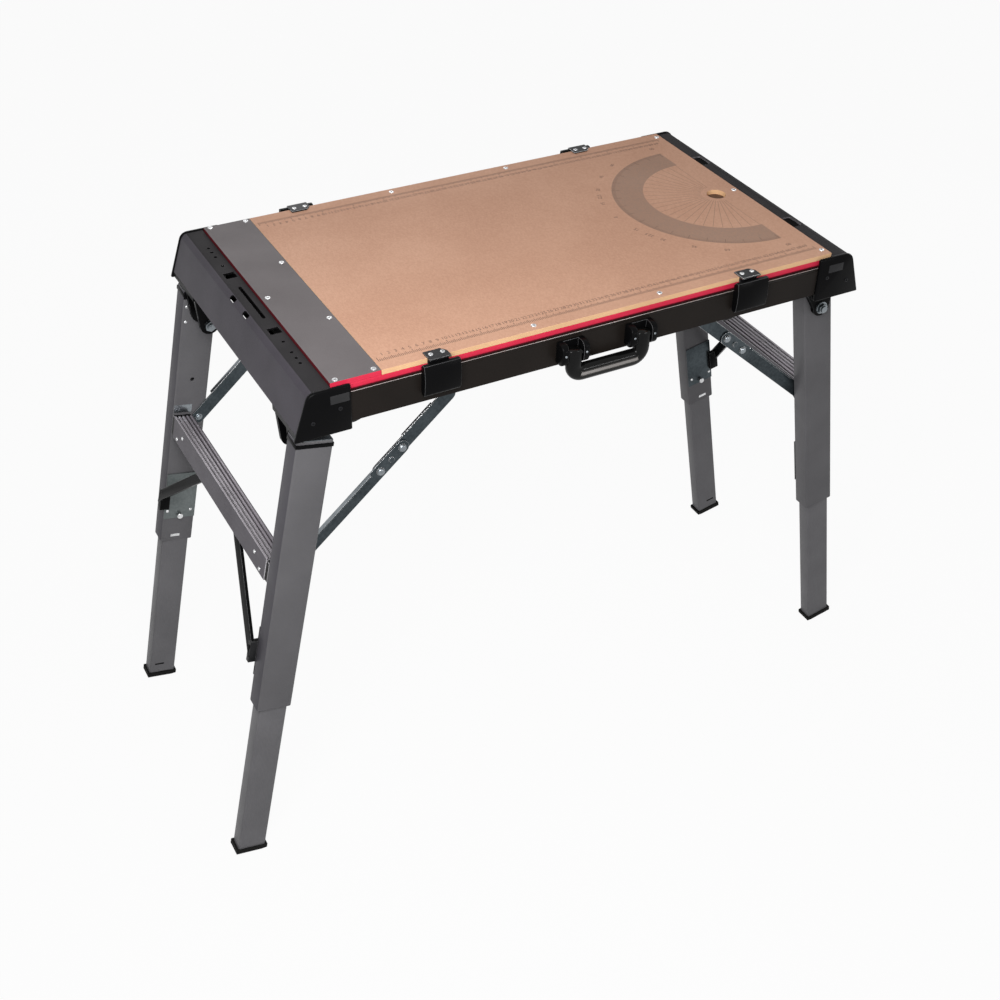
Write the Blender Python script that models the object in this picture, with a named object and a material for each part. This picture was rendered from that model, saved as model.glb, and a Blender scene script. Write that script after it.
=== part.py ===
"""Folding work table: splayed telescoping legs, stays, step bars, latches, handle and casters.

Metres, +Z up, floor at z = 0. X runs along the table (left end at -X), the handle side faces -Y.
side is -1 for the left end and +1 for the right end; row is -1 for the front and +1 for the rear.
"""

import math

import bmesh
import bpy
from mathutils import Matrix, Vector

# Driving dimensions
TABLE_LENGTH = 0.790
TABLE_WIDTH = 0.466
TABLE_HEIGHT = 0.808
CLEARANCE = 0.0003

# Work surface
BOARD_THICKNESS = 0.0075
WEAR_PLATE_WIDTH = 0.071
WEAR_PLATE_SKIN = 0.0018
DECK_THICKNESS = 0.0134
FINGER_HOLE_RADIUS = 0.015
FINGER_HOLE_INSET = 0.041

# Long rails
RAIL_HEIGHT = 0.0395
RAIL_WALL = 0.002
RAIL_DEPTH = 0.026
RAIL_OVERHANG = 0.005

# Corner castings
CORNER_INSET = 0.025
CORNER_OVERHANG = 0.009
CORNER_PROUD = 0.0012
CORNER_BOTTOM_DROP = 0.010
LUG_RADIUS = 0.0145
PIN_RADIUS = 0.0055
WASHER_RADIUS = 0.010

# End rails
END_RAIL_REACH = 0.0505
END_RAIL_TOP_DROP = 0.0045
END_RAIL_WALL = 0.003
END_RAIL_SHOULDER = 0.013
END_RAIL_LEAN = 18.0
END_SLOT_LENGTH = 0.095
END_SLOT_WIDTH = 0.005
END_SLOT_SHIFT = 0.006
END_SQUARE = 0.016
END_SQUARE_OFFSET = 0.083
END_OVAL_LENGTH = 0.017
END_OVAL_WIDTH = 0.006
END_OVAL_OFFSET = 0.024
END_HOLE_RADIUS = 0.0025
END_HOLE_OFFSETS = (0.1135, 0.1425, 0.1580, 0.1715)

# Legs
SPLAY = math.radians(11.2)
LEG_WIDTH = 0.052
LEG_DEPTH = 0.0305
LEG_WALL = 0.0029
LEG_CORNER = 0.003
LEG_INSET = 0.0022
LEG_PIVOT_OVERHANG = 0.029
LEG_PIVOT_DROP = 0.044
LEG_TOP_GAP = 0.0066
LEG_SOLE_LIFT = 0.0033
LEG_SLEEVE_REACH = 0.4148
LEG_GAP = 0.0083
INNER_TUBE_WIDTH = 0.0435
INNER_TUBE_WALL = 0.0018
INNER_TUBE_LAP = 0.1467
SLIDE_TRAVEL = 0.248
FOOT_WIDTH = 0.0494
FOOT_RIM = 0.0017
FOOT_HEIGHT = 0.009
FOOT_FLOOR = 0.0047

# Snap buttons
BUTTON_RISE = 0.0507
BUTTON_CAP_RADIUS = 0.0048
BUTTON_STEM_RADIUS = 0.0032
BUTTON_TRAVEL = 0.003

# Step bars and the braces under them
BAR_REACH = 0.1741
BAR_HEIGHT = 0.0365
BAR_INNER_EDGE = 0.004
BAR_END_BLOCK = 0.009
BAR_WALL = 0.0025
BAR_RIB_WIDTH = 0.003
BAR_RIB_HEIGHT = 0.002
BAR_RIBS = 3
BRACE_REACH = 0.3231
BRACE_HALF_SPAN = 0.051
BRACE_HEIGHT = 0.016
BRACE_WIDTH = 0.005
BRACE_PROUD = 0.0105
BRACE_TUCK = 0.125
BRACE_FOOT = 0.024
BRACE_PLATE_RISE = 0.0447
BRACE_PLATE_LENGTH = 0.085
BRACE_PLATE_SHEET = 0.0015

# Folding stays
STAY_REACH = 0.1821
STAY_OFFSET = 0.0155
STAY_ANCHOR_INSET = 0.1845
STAY_ANCHOR_DROP = 0.030
STAY_HALF_WIDTH = 0.0105
STAY_SHEET = 0.0022
STAY_LAP = 0.044
STAY_PIN_RADIUS = 0.004
STAY_RIVET_RADIUS = 0.006
STAY_FLANGE = 0.0053

# Cross plates under the deck
CROSS_INNER_INSET = 0.205
CROSS_OUTER_INSET = 0.030
CROSS_SHEET = 0.0025

# Casters
CASTER_INSET = 0.060
CASTER_Y = 0.105
CASTER_OFFSET = 0.018
WHEEL_RADIUS = 0.0315
WHEEL_WIDTH = 0.022
WHEEL_DROP = 0.156
FORK_DISC_RADIUS = 0.022
FORK_DISC_HEIGHT = 0.006
FORK_SHEET = 0.0028
AXLE_RADIUS = 0.004
KINGPIN_RADIUS = 0.005

# Edge latches and keepers
LATCH_INSET = 0.150
LATCH_WIDTH = 0.053
LATCH_HEIGHT = 0.0405
LATCH_HINGE_DROP = 0.043
LATCH_KNUCKLE = 0.0056
KEEPER_WIDTH = 0.031
KEEPER_SHEET = 0.002
KEEPER_REACH = 0.012
KEEPER_NOSE = 0.0095

# Carrying handle
HANDLE_X = 0.005
HANDLE_WIDTH = 0.132
HANDLE_ARM = 0.023
HANDLE_DEPTH = 0.016
HANDLE_DROP = 0.0332
HANDLE_GRIP = 0.0245
HANDLE_FILLET = 0.024
HANDLE_AXIS_DROP = 0.039
HANDLE_AXIS_STANDOFF = 0.0135
BRACKET_WIDTH = 0.042
BRACKET_HEIGHT = 0.032
BRACKET_DEPTH = 0.0205
BRACKET_BACK = 0.0035
HANDLE_PIN_RADIUS = 0.003

# Worked out from the driving dimensions
HALF_LENGTH = TABLE_LENGTH / 2
HALF_WIDTH = TABLE_WIDTH / 2
BOARD_BOTTOM = TABLE_HEIGHT - BOARD_THICKNESS
DECK_TOP = BOARD_BOTTOM - CLEARANCE
DECK_BOTTOM = DECK_TOP - DECK_THICKNESS
RAIL_TOP = DECK_BOTTOM - CLEARANCE
RAIL_BOTTOM = RAIL_TOP - RAIL_HEIGHT
RAIL_FACE = HALF_WIDTH + RAIL_OVERHANG
RAIL_LIP = RAIL_FACE - RAIL_DEPTH
END_RAIL_START = HALF_LENGTH + 0.0008
END_RAIL_FOOT = HALF_LENGTH + END_RAIL_REACH
END_RAIL_TOP = TABLE_HEIGHT - END_RAIL_TOP_DROP
END_RAIL_BOTTOM = RAIL_BOTTOM - 0.0005
CORNER_START = HALF_LENGTH - CORNER_INSET
CORNER_FACE = HALF_WIDTH + CORNER_OVERHANG
CORNER_TOP = END_RAIL_TOP + CORNER_PROUD
CORNER_BOTTOM = RAIL_BOTTOM - CORNER_BOTTOM_DROP
CORNER_SEAM = HALF_WIDTH + 0.0025
END_RAIL_HALF = CORNER_SEAM - CLEARANCE
PIVOT_X = HALF_LENGTH + LEG_PIVOT_OVERHANG
PIVOT_HEIGHT = CORNER_BOTTOM - LEG_PIVOT_DROP
PIVOT_STATION = (PIVOT_HEIGHT - LEG_SOLE_LIFT) / math.cos(SPLAY)
LEG_TOP_REACH = (LEG_PIVOT_DROP - LEG_TOP_GAP - LEG_WIDTH / 2 * math.sin(SPLAY)) / math.cos(SPLAY)
OUTER_LEG_FACE = HALF_WIDTH - LEG_INSET
LEG_FACES = {-1: OUTER_LEG_FACE, 1: OUTER_LEG_FACE - LEG_DEPTH - LEG_GAP}
INNER_TUBE_DEPTH = LEG_DEPTH - 2 * (LEG_WALL + CLEARANCE)
FOOT_DEPTH = INNER_TUBE_DEPTH + 2 * FOOT_RIM
BUTTON_REACH = LEG_SLEEVE_REACH - BUTTON_RISE
BRACE_PLATE_REACH = LEG_SLEEVE_REACH - BRACE_PLATE_RISE - BRACE_PLATE_LENGTH
CROSS_INNER_X = HALF_LENGTH - CROSS_INNER_INSET
CROSS_OUTER_X = HALF_LENGTH - CROSS_OUTER_INSET
CROSS_BOTTOM = RAIL_BOTTOM + 0.0005
CROSS_HALF = RAIL_LIP - CLEARANCE
STAY_ANCHOR_X = HALF_LENGTH - STAY_ANCHOR_INSET
STAY_ANCHOR_HEIGHT = CROSS_BOTTOM - STAY_ANCHOR_DROP
CASTER_X = HALF_LENGTH - CASTER_INSET
WHEEL_BOTTOM = TABLE_HEIGHT - WHEEL_DROP
LATCH_X = HALF_LENGTH - LATCH_INSET
LATCH_HINGE_HEIGHT = TABLE_HEIGHT - LATCH_HINGE_DROP
HANDLE_AXIS_HEIGHT = TABLE_HEIGHT - HANDLE_AXIS_DROP
NAMES = {-1: ("left", "front"), 1: ("right", "rear")}


def clear_scene():
    """Start from an empty scene"""
    for item in list(bpy.data.objects):
        bpy.data.objects.remove(item)


def finish(name, colour, roughness, metallic):
    """Principled material with the colour, roughness and metallic value of one finish"""
    material = bpy.data.materials.new(name)
    material.use_nodes = True
    shader = material.node_tree.nodes["Principled BSDF"]
    shader.inputs["Base Color"].default_value = (*colour, 1.0)
    shader.inputs["Roughness"].default_value = roughness
    shader.inputs["Metallic"].default_value = metallic
    return material


# Solids

def lift(a, b, level, axis):
    """Point of a flat outline at one level of its sweep axis"""
    if axis == "x":
        return Vector((level, a, b))
    if axis == "y":
        return Vector((a, level, b))
    return Vector((a, b, level))


def prism(outline, axis, low, high):
    """Closed solid swept from a flat outline along one axis"""
    solid = bmesh.new()
    ends = [[solid.verts.new(lift(a, b, level, axis)) for a, b in outline] for level in (low, high)]
    for ring in ends:
        solid.faces.new(ring)
    for index in range(len(outline)):
        before = index - 1
        solid.faces.new((ends[0][before], ends[0][index], ends[1][index], ends[1][before]))
    return to_mesh(solid)


def to_mesh(solid):
    """Mesh of a bmesh solid with its faces pointing outwards"""
    bmesh.ops.recalc_face_normals(solid, faces=solid.faces)
    mesh = bpy.data.meshes.new("solid")
    solid.to_mesh(mesh)
    solid.free()
    return mesh


def box(x_span, y_span, z_span):
    """Rectangular solid between three spans"""
    outline = [(x_span[0], y_span[0]), (x_span[1], y_span[0]), (x_span[1], y_span[1]), (x_span[0], y_span[1])]
    return prism(outline, "z", z_span[0], z_span[1])


def arc(a, b, radius, start, stop, steps):
    """Points on an arc about (a, b), angles in degrees"""
    turns = [math.radians(start + (stop - start) * step / steps) for step in range(steps + 1)]
    return [(a + radius * math.cos(turn), b + radius * math.sin(turn)) for turn in turns]


def round_rod(a, b, radius, axis, low, high, sides=12):
    """Round bar along one axis"""
    first = 180 / sides
    return prism(arc(a, b, radius, first, first + 360, sides)[:-1], axis, low, high)


def stadium(start, stop, across, radius, steps=8):
    """Long slot or link outline with round ends, from start to stop along the first axis"""
    return arc(stop, across, radius, -90, 90, steps) + arc(start, across, radius, 90, 270, steps)


def rounded_rectangle(width, depth, radius, middle, steps=3):
    """Rectangle outline with round corners, centred at (0, middle)"""
    a = width / 2 - radius
    b = depth / 2 - radius
    return (arc(a, middle + b, radius, 0, 90, steps) + arc(-a, middle + b, radius, 90, 180, steps)
            + arc(-a, middle - b, radius, 180, 270, steps) + arc(a, middle - b, radius, 270, 360, steps))


class Piece:
    """One sub-part: a mesh object that is built up with unions and cuts"""

    def __init__(self, name, mesh, material, at=(0, 0, 0), turn=0.0):
        mesh.name = name
        mesh.materials.append(material)
        self.body = bpy.data.objects.new(name, mesh)
        self.place(self.body, at, turn)
        self.at = at
        self.turn = turn

    @staticmethod
    def place(item, at, turn):
        """Put an object at its joint, turned about Y"""
        item.location = at
        item.rotation_euler = (0, turn, 0)
        bpy.context.scene.collection.objects.link(item)

    def combine(self, operation, meshes):
        """Apply each tool mesh, which shares the piece's own frame"""
        for mesh in meshes:
            tool = bpy.data.objects.new(f"{self.body.name}_tool", mesh)
            self.place(tool, self.at, self.turn)
            tool.hide_render = True
            tool.display_type = "WIRE"
            change = self.body.modifiers.new(operation.title(), "BOOLEAN")
            change.operation = operation
            change.solver = "EXACT"
            change.object = tool
        return self

    def fuse(self, *meshes):
        """Add solids to the piece"""
        return self.combine("UNION", meshes)

    def cut(self, *meshes):
        """Take solids out of the piece"""
        return self.combine("DIFFERENCE", meshes)

    def soften(self, width, segments=2):
        """Round the edges made so far"""
        bevel = self.body.modifiers.new("Soft edges", "BEVEL")
        bevel.width = width
        bevel.segments = segments
        bevel.limit_method = "ANGLE"
        return self

    def smooth(self):
        """Shade the round faces smooth"""
        self.body.data.shade_smooth()
        self.body.data.set_sharp_from_angle(angle=math.radians(35))
        return self


def mirrored(outline, first=1, second=1):
    """Outline with either coordinate flipped"""
    return [(first * a, second * b) for a, b in outline]


def span(low, high, sign=1):
    """Ordered pair of a span that may be mirrored"""
    return tuple(sorted((sign * low, sign * high)))


def leg_point(side, along, offset=0.0, y=0.0):
    """World point on a leg: along is up from its pivot, offset is towards the table's middle"""
    x = PIVOT_X - along * math.sin(SPLAY) - offset * math.cos(SPLAY)
    z = PIVOT_HEIGHT + along * math.cos(SPLAY) - offset * math.sin(SPLAY)
    return Vector((side * x, y, z))


# Top

def build_top(tan, steel, red):
    """Work board, wear plate and the deck panel under them"""
    seam = -HALF_LENGTH + WEAR_PLATE_WIDTH
    edge = HALF_WIDTH - 0.0002
    end = HALF_LENGTH - 0.0002
    heights = (BOARD_BOTTOM, TABLE_HEIGHT)
    board = Piece("work_board", box((seam + CLEARANCE, end), (-edge, edge), heights), tan)
    hole_x = HALF_LENGTH - FINGER_HOLE_INSET
    board.cut(round_rod(hole_x, 0, FINGER_HOLE_RADIUS, "z", BOARD_BOTTOM - 0.01, TABLE_HEIGHT + 0.01, 32))
    plate = Piece("wear_plate", box((-end, seam), (-edge, edge), heights), steel)
    hollow = WEAR_PLATE_SKIN
    plate.cut(box((-end + hollow, seam - hollow), (-edge + hollow, edge - hollow),
                  (BOARD_BOTTOM - 0.01, TABLE_HEIGHT - hollow)))
    Piece("deck_panel", box((-end, end), (-edge, edge), (DECK_BOTTOM, DECK_TOP)), red)


# Frame

def build_long_rail(row, dark):
    """Channel rail along the front or the rear, open towards the middle"""
    inner = RAIL_FACE - RAIL_WALL
    channel = [(RAIL_FACE, RAIL_BOTTOM), (RAIL_FACE, RAIL_TOP), (RAIL_LIP, RAIL_TOP),
               (RAIL_LIP, RAIL_TOP - RAIL_WALL), (inner, RAIL_TOP - RAIL_WALL),
               (inner, RAIL_BOTTOM + RAIL_WALL), (RAIL_LIP, RAIL_BOTTOM + RAIL_WALL), (RAIL_LIP, RAIL_BOTTOM)]
    reach = CORNER_START - CLEARANCE
    Piece(f"{NAMES[row][1]}_rail", prism(mirrored(channel, row), "x", -reach, reach), dark)


def end_flank(grow, low):
    """Outer curve of an end rail grown by an offset: round shoulder, then a leaning flank"""
    lean = math.radians(END_RAIL_LEAN)
    radius = END_RAIL_SHOULDER
    centre_z = END_RAIL_TOP - radius
    rise = centre_z + radius * math.sin(lean) - END_RAIL_BOTTOM
    centre_x = END_RAIL_FOOT - rise * math.tan(lean) - radius * math.cos(lean)
    shoulder = arc(centre_x, centre_z, radius + grow, 90, END_RAIL_LEAN, 5)
    foot = END_RAIL_FOOT - (low - END_RAIL_BOTTOM) * math.tan(lean) + grow / math.cos(lean)
    return shoulder + [(foot, low)]


def build_end_rail(side, grey):
    """Pressed rail across one end, with its slots or recesses in the top"""
    wall = END_RAIL_WALL
    lip = 0.022
    flange = 0.021
    profile = [(END_RAIL_START, END_RAIL_TOP)] + end_flank(0, END_RAIL_BOTTOM)
    profile += [(END_RAIL_FOOT - lip, END_RAIL_BOTTOM), (END_RAIL_FOOT - lip, END_RAIL_BOTTOM + wall)]
    profile += end_flank(-wall, END_RAIL_BOTTOM + wall)[::-1]
    profile += [(END_RAIL_START + wall, END_RAIL_TOP - wall), (END_RAIL_START + wall, END_RAIL_TOP - flange),
                (END_RAIL_START, END_RAIL_TOP - flange)]
    name = f"{NAMES[side][0]}_end_rail"
    rail = Piece(name, prism(mirrored(profile, side), "y", -END_RAIL_HALF, END_RAIL_HALF), grey)
    if side < 0:
        rail.cut(*end_rail_slots())
    else:
        for y in (-0.12, 0.12):
            pocket = prism(rounded_rectangle(0.018, 0.030, 0.004, 0), "z", 0, 0.01)
            pocket.transform(Matrix.Translation((END_RAIL_START + 0.0115, y, END_RAIL_TOP - wall / 2)))
            rail.cut(pocket)
    rail.smooth()


def end_rail_slots():
    """Cutters for the left rail's long slot, squares, ovals and small holes"""
    levels = (END_RAIL_TOP - 0.016, END_RAIL_TOP + 0.01)
    row_x = -(END_RAIL_START + 0.0112)
    oval_x = -(END_RAIL_START + 0.0287)
    shift = END_SLOT_SHIFT
    half = END_SLOT_LENGTH / 2 - END_SLOT_WIDTH / 2
    long_slot = stadium(shift - half, shift + half, row_x, END_SLOT_WIDTH / 2)
    slots = [prism([(b, a) for a, b in long_slot], "z", *levels)]
    for y in (shift - END_OVAL_OFFSET, shift + END_OVAL_OFFSET):
        half = END_OVAL_LENGTH / 2 - END_OVAL_WIDTH / 2
        oval = stadium(y - half, y + half, oval_x, END_OVAL_WIDTH / 2)
        slots.append(prism([(b, a) for a, b in oval], "z", *levels))
    for y in (shift - END_SQUARE_OFFSET, shift + END_SQUARE_OFFSET):
        half = END_SQUARE / 2
        slots.append(box((row_x - half, row_x + half), (y - half, y + half), levels))
    for offset in END_HOLE_OFFSETS:
        for y in (shift - offset, shift + offset):
            slots.append(round_rod(row_x, y, END_HOLE_RADIUS, "z", *levels, 8))
    return slots


def build_corner(side, row, black):
    """Corner casting: cap, seat under the deck, two leg lugs and the leg's pivot pin"""
    seat_inner = HALF_LENGTH + 0.0005
    cap = [(CORNER_START, CORNER_BOTTOM), (CORNER_START, CORNER_TOP)] + end_flank(CORNER_PROUD, CORNER_BOTTOM)
    name = f"corner_{NAMES[row][1]}_{NAMES[side][0]}"
    depth = span(CORNER_SEAM, CORNER_FACE, row)
    corner = Piece(name, prism(mirrored(cap, side), "y", *depth), black)
    corner.soften(0.0022)
    corner.cut(box(span(CORNER_START - 0.05, HALF_LENGTH + 0.0002, side), span(0, HALF_WIDTH + 0.0001, row),
                   (CORNER_BOTTOM - 0.05, TABLE_HEIGHT + 0.05)))
    outer_lug = (LEG_FACES[1] + 0.0004, OUTER_LEG_FACE - LEG_DEPTH - 0.0004)
    right_inside = LEG_FACES[1] - LEG_DEPTH
    inner_lug = (right_inside - 0.0074, right_inside - 0.0004)
    floor_top = RAIL_BOTTOM - 0.0008
    floor_end = end_flank(0, floor_top)[-1][0] - 0.0007
    floor_x = span(CORNER_START + 0.0085, floor_end, side)
    floor = box(floor_x, span(inner_lug[0], CORNER_SEAM + 0.003, row), (CORNER_BOTTOM + 0.0004, floor_top))
    seat = box(span(CORNER_START + 0.0001, seat_inner - 0.0001 - CLEARANCE, side),
               span(RAIL_LIP + 0.0002, HALF_WIDTH + 0.0012, row), (CORNER_BOTTOM + 0.0008, RAIL_TOP - 0.0001))
    corner.fuse(floor, seat)
    lug_top = CORNER_BOTTOM + 0.005
    lug = arc(PIVOT_X, PIVOT_HEIGHT, LUG_RADIUS, 0, -180, 12)
    lug += [(CORNER_START + 0.010, lug_top), (floor_end - 0.002, lug_top)]
    for low, high in (outer_lug, inner_lug):
        corner.fuse(prism(mirrored(lug, side), "y", *span(low, high, row)))
    pin_end = outer_lug[1] + 0.0085 if side > 0 else OUTER_LEG_FACE - 0.008
    corner.fuse(rod_y(side, PIN_RADIUS, span(inner_lug[0] - 0.008, pin_end, row)))
    corner.fuse(rod_y(side, PIN_RADIUS + 0.003, span(inner_lug[0] - 0.005, inner_lug[0] + 0.001, row), 6))
    if side > 0:
        face = outer_lug[1]
        corner.fuse(rod_y(side, WASHER_RADIUS, span(face - 0.001, face + 0.0018, row)))
        corner.fuse(rod_y(side, PIN_RADIUS + 0.0025, span(face + 0.001, face + 0.006, row), 6))


def rod_y(side, radius, levels, sides=14):
    """Round or hexagonal bar across the table at a leg pivot"""
    return round_rod(side * PIVOT_X, PIVOT_HEIGHT, radius, "y", *levels, sides)


def build_cross_plate(side, zinc):
    """Pressed channel under the deck, with the stay lugs and the caster holes"""
    sheet = CROSS_SHEET
    channel = [(CROSS_INNER_X, CROSS_BOTTOM), (CROSS_OUTER_X, CROSS_BOTTOM), (CROSS_OUTER_X, RAIL_TOP),
               (CROSS_OUTER_X - sheet, RAIL_TOP), (CROSS_OUTER_X - sheet, CROSS_BOTTOM + sheet),
               (CROSS_INNER_X + sheet, CROSS_BOTTOM + sheet), (CROSS_INNER_X + sheet, RAIL_TOP),
               (CROSS_INNER_X, RAIL_TOP)]
    name = f"{NAMES[side][0]}_cross_plate"
    plate = Piece(name, prism(mirrored(channel, side), "y", -CROSS_HALF, CROSS_HALF), zinc)
    lug = arc(STAY_ANCHOR_X, STAY_ANCHOR_HEIGHT, 0.010, 0, -180, 10)
    lug += [(STAY_ANCHOR_X - 0.014, CROSS_BOTTOM + 0.0012), (STAY_ANCHOR_X + 0.014, CROSS_BOTTOM + 0.0012)]
    low, high = stay_layer(side, 2)
    for row in (-1, 1):
        plate.fuse(prism(mirrored(lug, side), "y", *span(low, high, row)))
    radius = STAY_PIN_RADIUS + CLEARANCE
    plate.cut(round_rod(side * STAY_ANCHOR_X, STAY_ANCHOR_HEIGHT, radius, "y", -HALF_WIDTH, HALF_WIDTH))
    for row in (-1, 1):
        plate.cut(round_rod(side * CASTER_X, row * CASTER_Y, KINGPIN_RADIUS + CLEARANCE, "z",
                            CROSS_BOTTOM - 0.01, CROSS_BOTTOM + 0.01))


# Legs

def build_leg(side, row, grey, inner_grey, rubber, zinc):
    """Upper tube, sliding lower tube, foot and snap button of one leg"""
    tag = f"{NAMES[row][1]}_{NAMES[side][0]}"
    pivot = (side * PIVOT_X, 0, PIVOT_HEIGHT)
    turn = -side * SPLAY
    outer = LEG_FACES[side]
    middle = row * (outer - LEG_DEPTH / 2)
    inner = outer - LEG_DEPTH
    wall_zone = span(inner - 0.005, inner + LEG_WALL + 0.001, row)

    low = -LEG_SLEEVE_REACH
    skin = rounded_rectangle(LEG_WIDTH, LEG_DEPTH, LEG_CORNER, middle)
    bore = rounded_rectangle(LEG_WIDTH - 2 * LEG_WALL, LEG_DEPTH - 2 * LEG_WALL, LEG_CORNER / 3, middle)
    upper = Piece(f"upper_leg_{tag}", prism(skin, "z", low, LEG_TOP_REACH), grey, pivot, turn)
    upper.cut(prism(bore, "z", low - 0.01, LEG_TOP_REACH + 0.01))
    pin_zone = span(inner - 0.005, outer + 0.005, row) if side > 0 else wall_zone
    upper.cut(round_rod(0, 0, PIN_RADIUS + CLEARANCE, "y", *pin_zone))
    button_z = -BUTTON_REACH
    stem_hole = BUTTON_STEM_RADIUS + CLEARANCE
    upper.cut(round_rod(0, button_z, stem_hole, "y", *wall_zone))
    upper.cut(round_rod(0, button_z + SLIDE_TRAVEL, stem_hole, "y", *wall_zone))
    stay_x = -side * STAY_OFFSET
    upper.cut(round_rod(stay_x, -STAY_REACH, STAY_PIN_RADIUS + CLEARANCE, "y", *wall_zone))

    tube_low = FOOT_FLOOR + CLEARANCE - PIVOT_STATION
    tube_top = low + INNER_TUBE_LAP
    skin = rounded_rectangle(INNER_TUBE_WIDTH, INNER_TUBE_DEPTH, LEG_CORNER, middle)
    bore = rounded_rectangle(INNER_TUBE_WIDTH - 2 * INNER_TUBE_WALL, INNER_TUBE_DEPTH - 2 * INNER_TUBE_WALL,
                             LEG_CORNER - INNER_TUBE_WALL, middle)
    lower = Piece(f"lower_leg_{tag}", prism(skin, "z", tube_low, tube_top), inner_grey, pivot, turn)
    lower.cut(prism(bore, "z", tube_low - 0.01, tube_top + 0.01))

    build_foot(side, row, tag, middle, rubber)
    build_button(side, row, tag, inner, zinc)


def build_foot(side, row, tag, middle, rubber):
    """Rubber boot, cut square to the leg and worn flat where it meets the floor"""
    half = FOOT_WIDTH / 2
    worn_start = LEG_SOLE_LIFT / math.sin(SPLAY)
    worn_end = (half * math.sin(SPLAY) - LEG_SOLE_LIFT) / math.cos(SPLAY)
    sole = [(-half, 0), (worn_start, 0), (half, worn_end), (half, FOOT_HEIGHT), (-half, FOOT_HEIGHT)]
    sole = [(-side * a, b - PIVOT_STATION) for a, b in sole]
    pivot = (side * PIVOT_X, 0, PIVOT_HEIGHT)
    levels = (middle - FOOT_DEPTH / 2, middle + FOOT_DEPTH / 2)
    foot = Piece(f"foot_{tag}", prism(sole, "y", *levels), rubber, pivot, -side * SPLAY)
    pocket = rounded_rectangle(INNER_TUBE_WIDTH + 2 * CLEARANCE, INNER_TUBE_DEPTH + 2 * CLEARANCE,
                               LEG_CORNER, middle)
    foot.cut(prism(pocket, "z", FOOT_FLOOR - PIVOT_STATION, FOOT_HEIGHT + 0.01 - PIVOT_STATION))


def build_button(side, row, tag, inner, zinc):
    """Snap button: domed cap outside the brace plate, stem in the tube's wall"""
    at = leg_point(side, -BUTTON_REACH, 0, row * inner)
    plate_face = CLEARANCE + BRACE_PLATE_SHEET
    cap_low = plate_face + BUTTON_TRAVEL + 0.0002
    stem = span(-cap_low - 0.0005, -CLEARANCE, row)
    button = Piece(f"release_button_{tag}",
                   round_rod(0, 0, BUTTON_CAP_RADIUS, "y", *span(-cap_low - 0.0033, -cap_low, row), 14),
                   zinc, at, -side * SPLAY)
    button.soften(0.0012).fuse(round_rod(0, 0, BUTTON_STEM_RADIUS, "y", *stem, 10)).smooth()


def build_step_bar(side, aluminium):
    """Ribbed channel bar between the two legs of a pair, with a block at each end"""
    outer = -LEG_WIDTH / 2
    top = -BAR_REACH
    bottom = top - BAR_HEIGHT
    crown = top - BAR_RIB_HEIGHT
    profile = [(outer, bottom), (outer, top)]
    for rib in range(BAR_RIBS):
        start = outer + 2 * rib * BAR_RIB_WIDTH
        if rib:
            profile += [(start, crown), (start, top)]
        profile += [(start + BAR_RIB_WIDTH, top), (start + BAR_RIB_WIDTH, crown)]
    roof = crown - BAR_WALL
    inner_wall = BAR_INNER_EDGE - BAR_WALL
    profile += [(BAR_INNER_EDGE, crown), (BAR_INNER_EDGE, bottom), (inner_wall, bottom),
                (inner_wall, roof), (outer + BAR_WALL, roof), (outer + BAR_WALL, bottom)]
    leg_face = LEG_FACES[side] - LEG_DEPTH - CLEARANCE
    reach = leg_face - BAR_END_BLOCK
    pivot = (side * PIVOT_X, 0, PIVOT_HEIGHT)
    name = f"{NAMES[side][0]}_step_bar"
    bar = Piece(name, prism(mirrored(profile, -side), "y", -reach, reach), aluminium, pivot, -side * SPLAY)
    for row in (-1, 1):
        bar.fuse(box(span(outer + 0.001, BAR_INNER_EDGE - 0.001, -side), span(reach - 0.006, leg_face, row),
                     (bottom + 0.002, crown - 0.001)))


def brace_path(reach, top):
    """Outline of the bent brace: down from the bar's hollow to a leg at each end"""
    height = BRACE_HEIGHT
    slope = math.atan2(top - height / 2 + BRACE_REACH, reach - BRACE_HALF_SPAN)
    rise = height / 2 / math.cos(slope)
    upper = [(-reach, rise - BRACE_REACH), (-BRACE_HALF_SPAN, top), (BRACE_HALF_SPAN, top),
             (reach, rise - BRACE_REACH)]
    bend = BRACE_HALF_SPAN - height * 0.4
    lower = [(reach, -rise - BRACE_REACH), (bend, top - height), (-bend, top - height),
             (-reach, -rise - BRACE_REACH)]
    return upper + lower


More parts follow.
